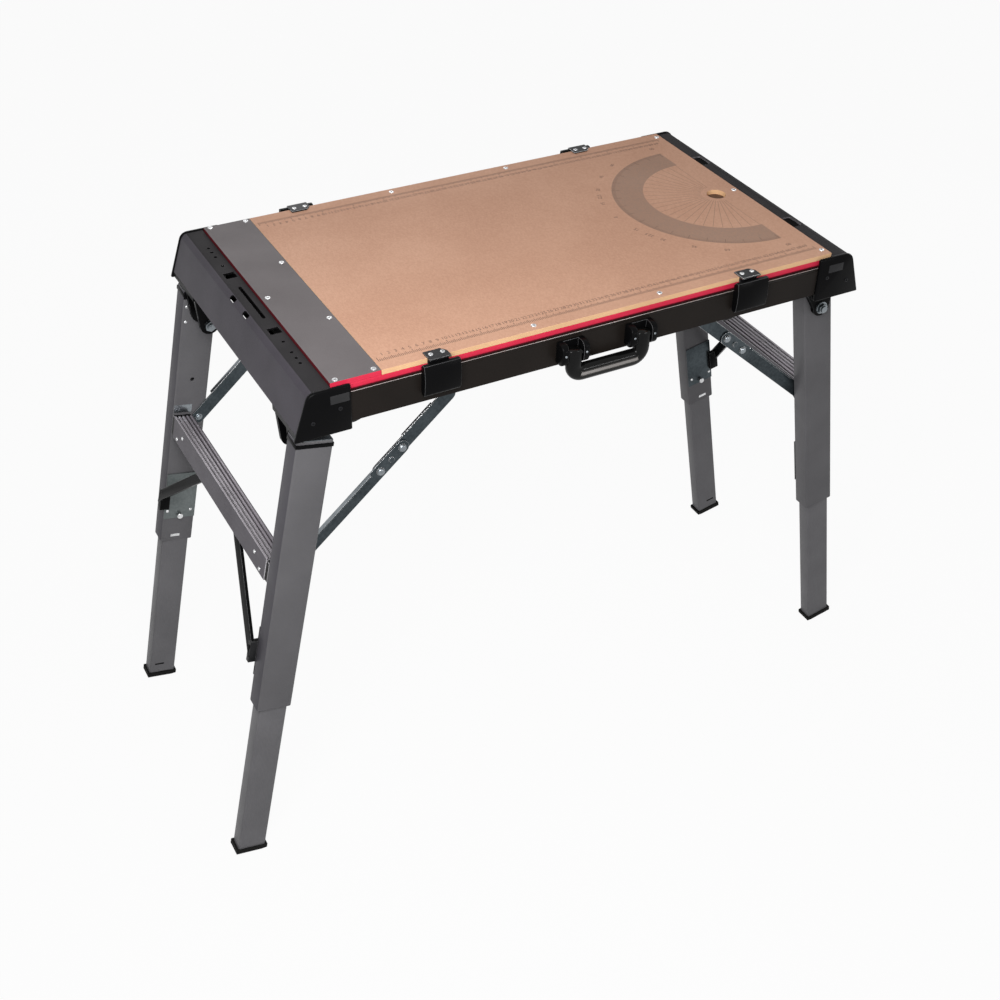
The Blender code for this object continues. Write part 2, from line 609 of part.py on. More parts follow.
def build_brace(side, dark):
    """Bent strap from the bar's hollow to a foot and a plate on each leg's inner face"""
    inner = LEG_FACES[side] - LEG_DEPTH - CLEARANCE
    reach = inner - 0.0007
    top = -BAR_REACH - BAR_RIB_HEIGHT - BAR_WALL - CLEARANCE
    outer_t = -LEG_WIDTH / 2 - BRACE_PROUD
    pivot = (side * PIVOT_X, 0, PIVOT_HEIGHT)
    levels = span(outer_t, outer_t + BRACE_WIDTH, -side)
    name = f"{NAMES[side][0]}_bar_brace"
    strap = prism(brace_path(reach, top), "x", *levels)
    strap.transform(Matrix(((1, 0, -side * BRACE_TUCK, -side * BRACE_TUCK * BRACE_REACH), (0, 1, 0, 0),
                            (0, 0, 1, 0), (0, 0, 0, 1))))
    brace = Piece(name, strap, dark, pivot, -side * SPLAY)
    half = LEG_WIDTH / 2 - 0.0005
    stations = (-BRACE_PLATE_REACH - BRACE_PLATE_LENGTH, -BRACE_PLATE_REACH)
    foot_z = (-BRACE_REACH - BRACE_FOOT, -BRACE_REACH + BRACE_FOOT / 2)
    for row in (-1, 1):
        foot_x = span(outer_t + 0.0005, -LEG_WIDTH / 2 + 0.006, -side)
        brace.fuse(box(foot_x, span(inner - 0.008, inner - 0.0004, row), foot_z))
        brace.fuse(box((-half, half), span(inner - BRACE_PLATE_SHEET, inner, row), stations))
    brace.cut(round_rod(0, -BUTTON_REACH, BUTTON_STEM_RADIUS + CLEARANCE, "y", -HALF_WIDTH, HALF_WIDTH))


# Folding stays

def stay_layer(side, layer):
    """Depth span of a stay layer inside a leg: 0 lower link, 1 upper link, 2 frame lug"""
    outer = LEG_FACES[side] - LEG_DEPTH - CLEARANCE - layer * (STAY_SHEET + 0.0004)
    return outer - STAY_SHEET, outer


def stay_line(side):
    """Lower pivot, upper pivot, slope and the two link lengths of one stay"""
    low = leg_point(side, -STAY_REACH, STAY_OFFSET)
    high = Vector((side * STAY_ANCHOR_X, 0, STAY_ANCHOR_HEIGHT))
    reach = high - low
    slope = math.atan2(reach.z, abs(reach.x))
    folded = Vector((side * (PIVOT_X - STAY_REACH), 0, PIVOT_HEIGHT + STAY_OFFSET))
    shut = (high - folded).length
    return low, high, slope, (reach.length + shut) / 2, (reach.length - shut) / 2


def build_stay(side, row, zinc):
    """Two links of one stay: the lower one on the leg, the upper one on the cross plate"""
    tag = f"{NAMES[row][1]}_{NAMES[side][0]}"
    low, high, slope, lower_length, upper_length = stay_line(side)
    turn = side * slope
    half = STAY_HALF_WIDTH
    way = -side

    near, far = stay_layer(side, 0)
    web = mirrored(stadium(0, lower_length + STAY_LAP, 0, half), way)
    lower = Piece(f"lower_stay_{tag}", prism(web, "y", *span(near, far, row)), zinc, low, turn)
    flange = box(span(0.042, lower_length - 0.012, way), span(near + 0.0006, far + STAY_FLANGE, row),
                 (half - 0.0017, half + 0.0003))
    lower.fuse(flange)
    lower.fuse(round_rod(0, 0, STAY_PIN_RADIUS, "y", *span(near + 0.0006, far + CLEARANCE + 0.0018, row)))
    for place in (0, STAY_LAP / 2, STAY_LAP):
        radius = STAY_RIVET_RADIUS * (0.7 if place == STAY_LAP / 2 else 1.0)
        head = span(near + 0.0006, far + 0.0022, row)
        lower.fuse(round_rod(way * (lower_length + place), 0, radius, "y", *head, 12))

    near, far = stay_layer(side, 1)
    web = mirrored(stadium(-upper_length, 0, 0, half), way)
    upper = Piece(f"upper_stay_{tag}", prism(web, "y", *span(near, far, row)), zinc, high, turn)
    lip = box(span(-upper_length + STAY_LAP + 0.012, -0.024, way), span(near - 0.0024, near + 0.0008, row),
              (half - 0.0017, half + 0.0003))
    upper.fuse(lip)
    lug_near = stay_layer(side, 2)[0]
    upper.fuse(round_rod(0, 0, STAY_PIN_RADIUS, "y", *span(lug_near + 0.0002, near + 0.0008, row)))


# Casters

def build_caster(side, row, zinc, tyre):
    """Swivel fork and wheel under a cross plate"""
    tag = f"{NAMES[row][1]}_{NAMES[side][0]}"
    top = CROSS_BOTTOM - CLEARANCE
    at = (side * CASTER_X, row * CASTER_Y, top)
    axle_drop = WHEEL_BOTTOM + WHEEL_RADIUS - top
    fork = Piece(f"caster_fork_{tag}",
                 round_rod(0, 0, FORK_DISC_RADIUS, "z", -FORK_DISC_HEIGHT, 0, 20), zinc, at)
    fork.soften(0.001, 1)
    fork.fuse(round_rod(0, 0, KINGPIN_RADIUS, "z", -0.003, CROSS_SHEET + CLEARANCE))
    trail = -side * CASTER_OFFSET
    arm = arc(trail, axle_drop, 0.0085, -160, -20, 8)
    arm += [(0.0145, -0.003), (-0.0145, -0.003)]
    inner = WHEEL_WIDTH / 2 + 0.001
    for cheek in (-1, 1):
        fork.fuse(prism(arm, "y", *span(inner, inner + FORK_SHEET, cheek)))
    fork.cut(round_rod(trail, axle_drop, AXLE_RADIUS + CLEARANCE, "y", -0.05, 0.05))
    fork.smooth()

    axle_at = (side * CASTER_X + trail, row * CASTER_Y, top + axle_drop)
    half = WHEEL_WIDTH / 2
    tread = round_rod(0, 0, WHEEL_RADIUS, "y", -half, half, 24)
    wheel = Piece(f"caster_wheel_{tag}", tread, tyre, axle_at)
    wheel.soften(0.003, 1)
    for cheek in (-1, 1):
        wheel.cut(ring_groove(cheek, half))
    wheel.fuse(round_rod(0, 0, AXLE_RADIUS, "y", -half - 0.0036, half + 0.0036))
    wheel.smooth()


def ring_groove(cheek, half):
    """Shallow dish around the hub on one side of a wheel"""
    dish = bmesh.new()
    rings = []
    for radius, depth in ((0.010, 0.004), (0.022, 0.004), (0.024, -0.002), (0.009, -0.002)):
        level = cheek * (half - depth)
        rings.append([dish.verts.new((a, level, b)) for a, b in arc(0, 0, radius, 0, 360, 16)[:-1]])
    for index, ring in enumerate(rings):
        before = rings[index - 1]
        for step in range(len(ring)):
            dish.faces.new((before[step - 1], before[step], ring[step], ring[step - 1]))
    return to_mesh(dish)


# Latches and handle

def build_latch(side, row, black, zinc):
    """Flip latch on a long rail and the steel keeper on the board above it"""
    tag = f"{NAMES[row][1]}_{NAMES[side][0]}"
    axis_y = RAIL_FACE + CLEARANCE + LATCH_KNUCKLE
    knuckle = arc(0, 0, LATCH_KNUCKLE, -180, 0, 8)
    face = [(0.0068, 0.012), (0.0066, 0.028), (0.0040, LATCH_HEIGHT), (-0.0020, LATCH_HEIGHT),
            (-LATCH_KNUCKLE, LATCH_HEIGHT - 0.004)]
    half = LATCH_WIDTH / 2
    latch = Piece(f"latch_{tag}", prism(mirrored(knuckle + face, row), "x", -half, half), black,
                  (side * LATCH_X, row * axis_y, LATCH_HINGE_HEIGHT))
    latch.soften(0.001)

    top = TABLE_HEIGHT + CLEARANCE + KEEPER_SHEET
    edge = HALF_WIDTH - 0.0002
    keeper_x = (side * LATCH_X - KEEPER_WIDTH / 2, side * LATCH_X + KEEPER_WIDTH / 2)
    tab = [(keeper_x[0], edge - KEEPER_REACH), (keeper_x[1] - 0.007, edge - KEEPER_REACH),
           (keeper_x[1], edge - KEEPER_REACH + 0.008), (keeper_x[1], edge + KEEPER_NOSE),
           (keeper_x[0], edge + KEEPER_NOSE)]
    keeper = Piece(f"keeper_{tag}", prism(mirrored(tab, 1, row), "z", top - KEEPER_SHEET, top), zinc)
    lip_y = span(edge + CLEARANCE, edge + CLEARANCE + KEEPER_SHEET, row)
    keeper.fuse(box((keeper_x[0] + 0.0005, keeper_x[1] - 0.0005), lip_y,
                    (BOARD_BOTTOM - 0.004, top - KEEPER_SHEET / 2)))


def build_handle(black):
    """Swinging carrying handle between its two brackets on the front rail"""
    axis_y = -(RAIL_FACE + HANDLE_AXIS_STANDOFF)
    outer = HANDLE_WIDTH / 2
    inner = outer - HANDLE_ARM
    eye = 0.0075
    fillet = HANDLE_FILLET
    inner_fillet = HANDLE_FILLET / 6
    under = -HANDLE_DROP - HANDLE_GRIP / 2
    over = -HANDLE_DROP + HANDLE_GRIP / 2
    loop = [(-inner, eye), (-outer, eye)]
    loop += arc(-outer + fillet, under + fillet, fillet, 180, 270, 6)
    loop += arc(outer - fillet, under + fillet, fillet, 270, 360, 6)
    loop += [(outer, eye), (inner, eye)]
    loop += arc(inner - inner_fillet, over + inner_fillet, inner_fillet, 0, -90, 3)
    loop += arc(-inner + inner_fillet, over + inner_fillet, inner_fillet, -90, -180, 3)
    half = HANDLE_DEPTH / 2
    at = (HANDLE_X, axis_y, HANDLE_AXIS_HEIGHT)
    handle = Piece("carry_handle", prism(loop, "y", -half, half), black, at)
    handle.soften(0.0055, 3)
    handle.cut(round_rod(0, 0, HANDLE_PIN_RADIUS + CLEARANCE, "x", -outer - 0.01, outer + 0.01))
    handle.smooth()

    middle = (inner + outer) / 2
    for side in (-1, 1):
        block_x = span(middle - BRACKET_WIDTH / 2, middle + BRACKET_WIDTH / 2, side)
        block_y = (-RAIL_FACE - CLEARANCE - BRACKET_DEPTH, -RAIL_FACE - CLEARANCE)
        height = (HANDLE_AXIS_HEIGHT - BRACKET_HEIGHT / 2, HANDLE_AXIS_HEIGHT + BRACKET_HEIGHT / 2)
        block_x = tuple(HANDLE_X + x for x in block_x)
        nose = BRACKET_DEPTH / 2
        block = [(block_y[1], height[0]), (block_y[1], height[1])]
        block += arc(block_y[0] + nose, height[1] - nose, nose, 90, 180, 5)
        block += arc(block_y[0] + nose, height[0] + nose, nose, 180, 270, 5)
        bracket = Piece(f"handle_bracket_{NAMES[side][0]}", prism(block, "x", *block_x), black)
        bracket.soften(0.0015)
        slot_x = tuple(HANDLE_X + x for x in span(inner - CLEARANCE, outer + CLEARANCE, side))
        slot_y = (block_y[0] - 0.01, block_y[1] - BRACKET_BACK)
        bracket.cut(box(slot_x, slot_y, (height[0] - 0.01, height[1] + 0.01)))
        pin_x = tuple(HANDLE_X + x for x in span(inner - 0.004, outer + 0.004, side))
        bracket.fuse(round_rod(axis_y, HANDLE_AXIS_HEIGHT, HANDLE_PIN_RADIUS, "x", *pin_x))


def build():
    """Model the whole table"""
    clear_scene()
    tan = finish("board_tan", (0.55, 0.36, 0.24), 0.55, 0.0)
    plate_steel = finish("wear_plate_steel", (0.20, 0.18, 0.18), 0.4, 0.7)
    red = finish("deck_red", (0.62, 0.03, 0.06), 0.45, 0.0)
    dark = finish("rail_dark_paint", (0.022, 0.018, 0.016), 0.4, 0.2)
    end_grey = finish("end_rail_paint", (0.07, 0.065, 0.075), 0.45, 0.2)
    black = finish("black_plastic", (0.009, 0.009, 0.009), 0.45, 0.0)
    leg_grey = finish("leg_paint", (0.11, 0.11, 0.105), 0.4, 0.3)
    inner_grey = finish("inner_tube_paint", (0.10, 0.10, 0.10), 0.4, 0.3)
    rubber = finish("foot_rubber", (0.012, 0.012, 0.012), 0.75, 0.0)
    zinc = finish("zinc_steel", (0.17, 0.19, 0.21), 0.35, 0.9)
    aluminium = finish("bar_aluminium", (0.40, 0.37, 0.40), 0.35, 0.9)
    tyre = finish("caster_tyre", (0.03, 0.03, 0.03), 0.6, 0.0)

    build_top(tan, plate_steel, red)
    for row in (-1, 1):
        build_long_rail(row, dark)
    for side in (-1, 1):
        build_end_rail(side, end_grey)
        build_cross_plate(side, zinc)
        build_step_bar(side, aluminium)
        build_brace(side, dark)
        for row in (-1, 1):
            build_corner(side, row, black)
            build_leg(side, row, leg_grey, inner_grey, rubber, zinc)
            build_stay(side, row, zinc)
            build_caster(side, row, zinc, tyre)
            build_latch(side, row, black, zinc)
    build_handle(black)


build()
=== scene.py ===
"""Dresses the folding work table: board, frame, folding legs, step bars, stays, latches and handle."""

import logging
import math
from dataclasses import dataclass
from enum import Enum
from typing import Callable, Iterator, Optional, Sequence

import bmesh
import bpy
from mathutils import Matrix, Vector


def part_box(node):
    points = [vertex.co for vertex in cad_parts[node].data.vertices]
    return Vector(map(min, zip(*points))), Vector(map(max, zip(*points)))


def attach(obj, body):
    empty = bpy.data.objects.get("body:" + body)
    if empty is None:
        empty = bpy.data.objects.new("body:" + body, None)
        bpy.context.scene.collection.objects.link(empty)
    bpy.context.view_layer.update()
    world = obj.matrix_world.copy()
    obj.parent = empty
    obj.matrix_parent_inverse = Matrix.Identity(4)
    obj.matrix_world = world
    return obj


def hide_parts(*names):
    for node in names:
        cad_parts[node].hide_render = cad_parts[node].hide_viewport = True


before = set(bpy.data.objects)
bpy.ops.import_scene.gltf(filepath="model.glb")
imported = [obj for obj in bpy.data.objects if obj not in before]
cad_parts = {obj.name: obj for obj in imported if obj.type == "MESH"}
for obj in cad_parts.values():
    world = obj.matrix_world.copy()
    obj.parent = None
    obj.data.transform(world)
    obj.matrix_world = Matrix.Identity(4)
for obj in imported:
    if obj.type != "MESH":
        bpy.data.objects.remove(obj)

Colour = tuple[float, float, float]
Pair = tuple[float, float]
Point = tuple[float, float, float]
Chooser = Callable[[Vector, Vector], int]
Shape = bmesh.types.BMesh
Socket = bpy.types.NodeSocket
log = logging.getLogger("work_table")


class Place(Enum):
    """Place on the table that pieces are named after."""

    @property
    def tag(self) -> str:
        """Its word in the names of pieces."""
        return self.name.lower()


class Side(Place):
    """End of the table."""

    LEFT = -1
    RIGHT = 1


class Row(Place):
    """Long side of the table."""

    FRONT = -1
    REAR = 1

    def way(self, sign: int = 1) -> Point:
        """Direction out of the table on this side, or into it for a sign of -1."""
        return 0.0, float(sign * self.value), 0.0


class Head(Enum):
    """Kind of fastener head."""

    CROSS_SCREW = "cross screw"
    RIVET = "rivet"
    BOLT = "bolt"


UP = (0.0, 0.0, 1.0)
RISE = (0.0, 1.0)
FALL = (1.0, 0.0)

# Widths of the rounded edges
SLIM_EDGE = 0.0003
FINE_EDGE = 0.0004
PLAIN_EDGE = 0.0005
BROAD_EDGE = 0.0006
DECK_EDGE = 0.0008
FOOT_EDGE = 0.0009

# Angles in degrees past which an edge is rounded or stays sharp
FINE_ANGLE = 30.0
SHARP_ANGLE = 32.0
PLAIN_ANGLE = 38.0
COARSE_ANGLE = 50.0
TUBE_ANGLE = 60.0

# How far a face's normal must point along a direction
BARELY = 0.05
SLIGHTLY = 0.1
MAINLY = 0.5
MOSTLY = 0.7
NEARLY = 0.8
CLOSELY = 0.9
FULLY = 0.95

# The legs' outer faces from the table's middle line, and the gaps of bar and stay inside the legs
LEG_FACES = {Side.LEFT: 0.2308, Side.RIGHT: 0.1920}
BAR_GAP = 0.0093
SEAT_GAP = 0.0003


def tag_of(side: Side, row: Row) -> str:
    """Name ending of the pieces at one leg."""
    return f"{row.tag}_{side.tag}"


def span(sign: float, first: float, second: float) -> list[float]:
    """Two distances on the side that a sign names, the lower one first."""
    return sorted((sign * first, sign * second))


def show(name: str, data: bpy.types.ID) -> bpy.types.Object:
    """Put an object with its data into the scene.

    Args:
        name: Name of the object.
        data: Its mesh, curve, light or camera.

    Returns:
        The object.
    """
    made = bpy.data.objects.new(name, data)
    bpy.context.scene.collection.objects.link(made)
    return made


def plain_mesh(holder: bpy.types.Object) -> bpy.types.Mesh:
    """Shape of an object, with its modifiers, as a plain mesh."""
    graph = bpy.context.evaluated_depsgraph_get()
    return bpy.data.meshes.new_from_object(holder.evaluated_get(graph), depsgraph=graph)


def corners() -> Iterator[tuple[Side, Row, str]]:
    """End, long side and name ending at each corner of the table."""
    return ((side, row, tag_of(side, row)) for side in Side for row in Row)


def ring_turns(steps: int) -> list[float]:
    """Angles of the corners of a ring."""
    return [2 * math.pi * (step + 0.5) / steps for step in range(steps)]


# Finishes


class NodeLayout:
    """Node tree that is filled node by node."""

    def __init__(self, tree: bpy.types.NodeTree) -> None:
        """Take up a tree."""
        self.tree = tree

    def node(self, kind: str, *values: object, **named: object) -> bpy.types.Node:
        """Add one node and feed its inputs.

        Args:
            kind: Kind of node.
            values: What the first inputs get, in order.
            named: What other inputs get by name, with spaces as underscores.

        Returns:
            The node.
        """
        node = self.tree.nodes.new(kind)
        for target, value in zip(node.inputs, values):
            self.feed(target, value)
        for name, value in named.items():
            self.feed(node.inputs[name.replace("_", " ")], value)
        return node

    def feed(self, target: Socket, value: object) -> None:
        """Set a socket or link something to it.

        Args:
            target: Input socket.
            value: A number, a colour or an output socket.
        """
        if isinstance(value, Socket):
            self.tree.links.new(value, target)
        elif isinstance(value, tuple) and len(target.default_value) == 4:
            target.default_value = (*value, 1.0)
        else:
            target.default_value = value

    def sum(self, kind: str, first: object, second: object) -> Socket:
        """Arithmetic on two values.

        Args:
            kind: Name of the operation.
            first: Number or socket.
            second: Number or socket.

        Returns:
            The result.
        """
        node = self.node("ShaderNodeMath", first, second)
        node.operation = kind
        return node.outputs[0]


class Shader(NodeLayout):
    """Node layout of one finish, around its surface shader."""

    def __init__(self, name: str) -> None:
        """Start a material.

        Args:
            name: Name of the finish.
        """
        self.material = bpy.data.materials.new(name)
        self.material.use_nodes = True
        super().__init__(self.material.node_tree)
        self.surface = self.tree.nodes["Principled BSDF"]
        self.place = self.node("ShaderNodeTexCoord").outputs["Object"]

    def stretched(self, scale: Point) -> Socket:
        """Object coordinates drawn out along the axes."""
        return self.node("ShaderNodeMapping", Scale=scale, Vector=self.place).outputs["Vector"]

    def noise(self, scale: float, detail: float = 3.0, place: object = None) -> Socket:
        """Noise of one scale.

        Args:
            scale: Waves in a metre.
            detail: Octaves.
            place: Coordinates, the object's own when left out.

        Returns:
            The noise value from 0 to 1.
        """
        noise = self.node("ShaderNodeTexNoise", Scale=scale, Detail=detail, Vector=place or self.place)
        return noise.outputs["Fac"]

    def spread(self, value: object, ends: Pair, result: Pair, smooth: bool = False) -> Socket:
        """Map one span of a value to another.

        Args:
            value: Value to map.
            ends: Low and high end of its span.
            result: What the ends become.
            smooth: Whether to ease between them.

        Returns:
            The mapped value.
        """
        ranged = self.node("ShaderNodeMapRange", Value=value, From_Min=ends[0], From_Max=ends[1],
                           To_Min=result[0], To_Max=result[1])
        ranged.interpolation_type = "SMOOTHSTEP" if smooth else "LINEAR"
        return ranged.outputs["Result"]

    def blend(self, share: object, first: object, second: object) -> Socket:
        """Mix two colours.

        Args:
            share: Part of the second colour, from 0 to 1.
            first: Colour or socket.
            second: Colour or socket.

        Returns:
            The mixed colour.
        """
        mix = self.node("ShaderNodeMix", share)
        mix.data_type = "RGBA"
        self.feed(mix.inputs[6], first)
        self.feed(mix.inputs[7], second)
        return mix.outputs[2]

    def relief(self, height: Socket, depth: float, strength: float) -> None:
        """Raise the surface by a height value.

        Args:
            height: Height from 0 to 1.
            depth: Distance in metres that a height of 1 stands for.
            strength: Share of the relief that shows.
        """
        bump = self.node("ShaderNodeBump", Strength=strength, Distance=depth, Height=height)
        self.set(Normal=bump.outputs["Normal"])

    def laid(self, name: str) -> Socket:
        """What one of the surface shader's sockets is fed with."""
        return self.surface.inputs[name].links[0].from_socket

    def set(self, **values: object) -> None:
        """Feed the surface shader's sockets by name, with spaces as underscores."""
        for name, value in values.items():
            self.feed(self.surface.inputs[name.replace("_", " ")], value)


@dataclass(frozen=True)
class Finish:
    """Surface with a clouded tone, uneven gloss and a fine grain."""

    name: str
    tone: Colour
    shade: Colour
    gloss: Pair = (0.4, 0.55)
    metallic: float = 0.0
    specular: float = 0.5
    cloud: float = 14.0
    grain: float = 1300.0
    depth: float = 0.00004
    stretch: Point = (1.0, 1.0, 1.0)
    cloud_ends: Pair = (0.32, 0.68)
    grain_ends: Pair = (0.3, 0.7)
    shares: Pair = (0.55, 0.45)
    strength: float = 0.6

    def material(self) -> bpy.types.Material:
        """Make the finish, or give the one made before."""
        made = bpy.data.materials.get(self.name)
        if made:
            return made
        shader = Shader(self.name)
        shader.set(Metallic=self.metallic, Specular_IOR_Level=self.specular)
        self.lay(shader)
        return shader.material

    def lay(self, shader: Shader) -> None:
        """Lay out tone, gloss and grain.

        Args:
            shader: Node layout to fill.
        """
        clouds = shader.spread(shader.noise(self.cloud, detail=4.0), self.cloud_ends, RISE)
        grain = shader.noise(self.grain, detail=2.0, place=shader.stretched(self.stretch))
        flecks = shader.spread(grain, self.grain_ends, RISE)
        share = shader.sum("ADD", *(shader.sum("MULTIPLY", *part) for part in zip((clouds, flecks), self.shares)))
        self.coat(shader, share, grain)

    def coat(self, shader: Shader, share: Socket, grain: Socket) -> None:
        """Give tone and gloss by a share, and the relief of a grain.

        Args:
            shader: Node layout to fill.
            share: Share of the second tone and gloss.
            grain: Height of the surface.
        """
        shader.set(Base_Color=shader.blend(share, self.tone, self.shade),
                   Roughness=shader.spread(share, RISE, self.gloss))
        shader.relief(grain, self.depth, self.strength)


@dataclass(frozen=True)
class BoardFinish(Finish):
    """Sanded fibre board with the printed band of a protractor round the finger hole."""

    strength: float = 0.5
    fibre: float = 420.0
    fibre_ends: Pair = (0.34, 0.66)
    fibre_stretch: Point = (1.0, 0.55, 1.0)
    patch: float = 7.0
    patch_ends: Pair = (0.36, 0.64)
    fleck: float = 1500.0
    fleck_ends: Pair = (0.60, 0.72)
    fleck_share: float = 0.75
    fleck_dark: float = 0.62
    hole: Pair = (0.354, 0.0)
    band: Pair = (0.113, 0.162)
    band_edge: float = 0.0012
    band_stop: Pair = (0.002, 0.004)
    band_tone: Colour = (0.270, 0.180, 0.135)
    band_shares: Pair = (0.82, 0.54)

    def lay(self, shader: Shader) -> None:
        """Lay out fibres, flecks and the printed band.

        Args:
            shader: Node layout to fill.
        """
        fibres = shader.noise(self.fibre, detail=6.0, place=shader.stretched(self.fibre_stretch))
        patches = shader.noise(self.patch)
        flecks = shader.spread(shader.noise(self.fleck, detail=2.0), self.fleck_ends, (0.0, self.fleck_share))
        share = shader.sum("ADD", shader.spread(fibres, self.fibre_ends, (0.0, self.shares[0])),
                           shader.spread(patches, self.patch_ends, (0.0, self.shares[1])))
        self.coat(shader, share, fibres)
        dark = tuple(self.fleck_dark * part for part in self.shade)
        colour = shader.blend(flecks, shader.laid("Base Color"), dark)
        shader.set(Base_Color=shader.blend(self.printed(shader, fibres), colour, self.band_tone))

    def printed(self, shader: Shader, fibres: Socket) -> Socket:
        """Share of print at each place: a half ring on the hole's left.

        Args:
            shader: Node layout to fill.
            fibres: Fibre noise, which breaks the print up.

        Returns:
            The share of print, from 0 to 1.
        """
        parts = shader.node("ShaderNodeSeparateXYZ", shader.place)
        across, along = (shader.sum("SUBTRACT", *part) for part in zip(parts.outputs, self.hole))
        square = shader.sum("ADD", shader.sum("POWER", across, 2.0), shader.sum("POWER", along, 2.0))
        radius = shader.sum("SQRT", square, 0.0)
        inside, outside = (shader.spread(radius, (edge, edge + self.band_edge), result, True)
                           for edge, result in zip(self.band, (RISE, FALL)))
        half = shader.spread(across, self.band_stop, FALL, True)
        ring = shader.sum("MULTIPLY", shader.sum("MULTIPLY", inside, outside), half)
        return shader.sum("MULTIPLY", ring, shader.spread(fibres, self.grain_ends, self.band_shares))


@dataclass(frozen=True)
class ZincFinish(Finish):
    """Zinc plate with a faint spangle and dull patches."""

    cloud_ends: Pair = (0.35, 0.65)
    shares: Pair = (0.7, 0.45)
    strength: float = 0.5
    spangle: float = 240.0
    scratches: Pair = (-0.05, 0.05)

    def lay(self, shader: Shader) -> None:
        """Lay out spangle, dull patches and fine scratches.

        Args:
            shader: Node layout to fill.
        """
        cells = shader.node("ShaderNodeTexVoronoi", Scale=self.spangle, Vector=shader.place)
        clouds = shader.spread(shader.noise(self.cloud, detail=5.0), self.cloud_ends, (0.0, self.shares[0]))
        scratch = shader.noise(self.grain, detail=2.0, place=shader.stretched(self.stretch))
        share = shader.sum("ADD", clouds, shader.sum("MULTIPLY", cells.outputs["Distance"], self.shares[1]))
        self.coat(shader, share, scratch)
        uneven = shader.spread(scratch, self.grain_ends, self.scratches)
        shader.set(Roughness=shader.sum("ADD", shader.laid("Roughness"), uneven))


@dataclass(frozen=True)
class DeckFinish(Finish):
    """Lacquer with a painted shade that darkens it down behind the rail's lip."""

    # Colour and heights of the painted shade at the foot, behind the rail's lip.
    dark: Colour = (0.070, 0.006, 0.010)
    fade: Pair = (0.7922, 0.7942)

    def lay(self, shader: Shader) -> None:
        """Lay out the lacquer and the painted shade at its foot.

        Args:
            shader: Node layout to fill.
        """
        super().lay(shader)
        parts = shader.node("ShaderNodeSeparateXYZ", shader.place)
        foot = shader.spread(parts.outputs["Z"], self.fade, FALL, True)
        shader.set(Base_Color=shader.blend(foot, shader.laid("Base Color"), self.dark))


BOARD_FACE = BoardFinish("sanded_board", (0.650, 0.376, 0.256), (0.545, 0.302, 0.203), (0.55, 0.72),
                         specular=0.25,
                         depth=0.00003)
BOARD_EDGE = Finish("cut_board_edge", (0.790, 0.500, 0.280), (0.630, 0.380, 0.205), (0.6, 0.8), specular=0.25,
                    grain=900.0, stretch=(0.3, 0.3, 2.5))
BOARD_SHADE = Finish("hole_floor_brown", (0.200, 0.118, 0.080), (0.130, 0.076, 0.052), (0.7, 0.85),
                     specular=0.1)
BOARD_PRINT = Finish("brown_print", (0.150, 0.092, 0.066), (0.250, 0.152, 0.110), (0.6, 0.75),
                     specular=0.25, cloud=60.0)
FAINT_PRINT = Finish("faint_brown_print", (0.300, 0.180, 0.126), (0.400, 0.240, 0.168), (0.6, 0.75),
                     specular=0.25,
                     cloud=60.0)
PLATE_PAINT = Finish("wear_plate_grey", (0.158, 0.142, 0.145), (0.124, 0.112, 0.114), (0.46, 0.6), 0.15, 0.12,
                     cloud=9.0, grain=2200.0, stretch=(0.25, 1.0, 1.0))
# Red lacquer of the deck and the plate's sides, with painted shade at its foot behind the rail's lip.
DECK_RED = DeckFinish("red_lacquer", (0.680, 0.032, 0.078), (0.540, 0.020, 0.050), (0.3, 0.42), specular=0.2)
SHADED_RED = Finish("shaded_red", (0.150, 0.018, 0.024), (0.090, 0.010, 0.014), (0.4, 0.55), specular=0.1)
RAIL_PAINT = Finish("dark_rail_paint", (0.0130, 0.0102, 0.0086), (0.0086, 0.0068, 0.0058), (0.36, 0.5),
                    specular=0.08, grain=900.0, depth=0.00006)
# Painted highlight: the pale line along the long rails' upper edge.
RAIL_EDGE_HIGHLIGHT = Finish("rubbed_rail_edge", (0.520, 0.490, 0.475), (0.260, 0.240, 0.232), (0.26, 0.4), 0.3)
END_PAINT = Finish("end_rail_grey", (0.054, 0.048, 0.060), (0.040, 0.036, 0.044), (0.34, 0.46), 0.1, 0.15,
                   grain=900.0, depth=0.00006)
# Painted shade: the end rails' flat tops are darker than their other faces.
END_TOP_SHADE = Finish("end_rail_top_grey", (0.030, 0.028, 0.030), (0.022, 0.021, 0.022), (0.5, 0.62),
                 specular=0.05,
                 grain=900.0, depth=0.00006)
# Wear and painted highlight on the end rails' rounded edges.
END_EDGE = Finish("rubbed_end_edge", (0.160, 0.150, 0.165), (0.090, 0.084, 0.092), (0.26, 0.4), 0.3)
LEG_PAINT = Finish("leg_grey", (0.128, 0.125, 0.132), (0.098, 0.096, 0.101), (0.34, 0.46), 0.1, 0.12,
                   grain=1100.0, depth=0.00006)
# Painted shade: the upper legs' narrow outward sides are darker than their other faces.
LEG_SIDE_SHADE = Finish("leg_side_grey", (0.084, 0.080, 0.092), (0.064, 0.061, 0.070), (0.36, 0.48), 0.1, 0.08,
                  grain=1100.0, depth=0.00006)
# Wear and painted highlight on the legs' rounded edges.
LEG_EDGE = Finish("rubbed_leg_edge", (0.280, 0.275, 0.285), (0.170, 0.166, 0.174), (0.24, 0.38), 0.4)
TUBE_PAINT = Finish("inner_tube_grey", (0.152, 0.149, 0.157), (0.118, 0.116, 0.122), (0.32, 0.44), 0.12, 0.12,
                    grain=1100.0, stretch=(1.0, 1.0, 0.12))
BLACK_PLASTIC = Finish("black_moulding", (0.0034, 0.0034, 0.0037), (0.0024, 0.0024, 0.0026), (0.24, 0.34),
                       specular=0.04, grain=2400.0, depth=0.00004)
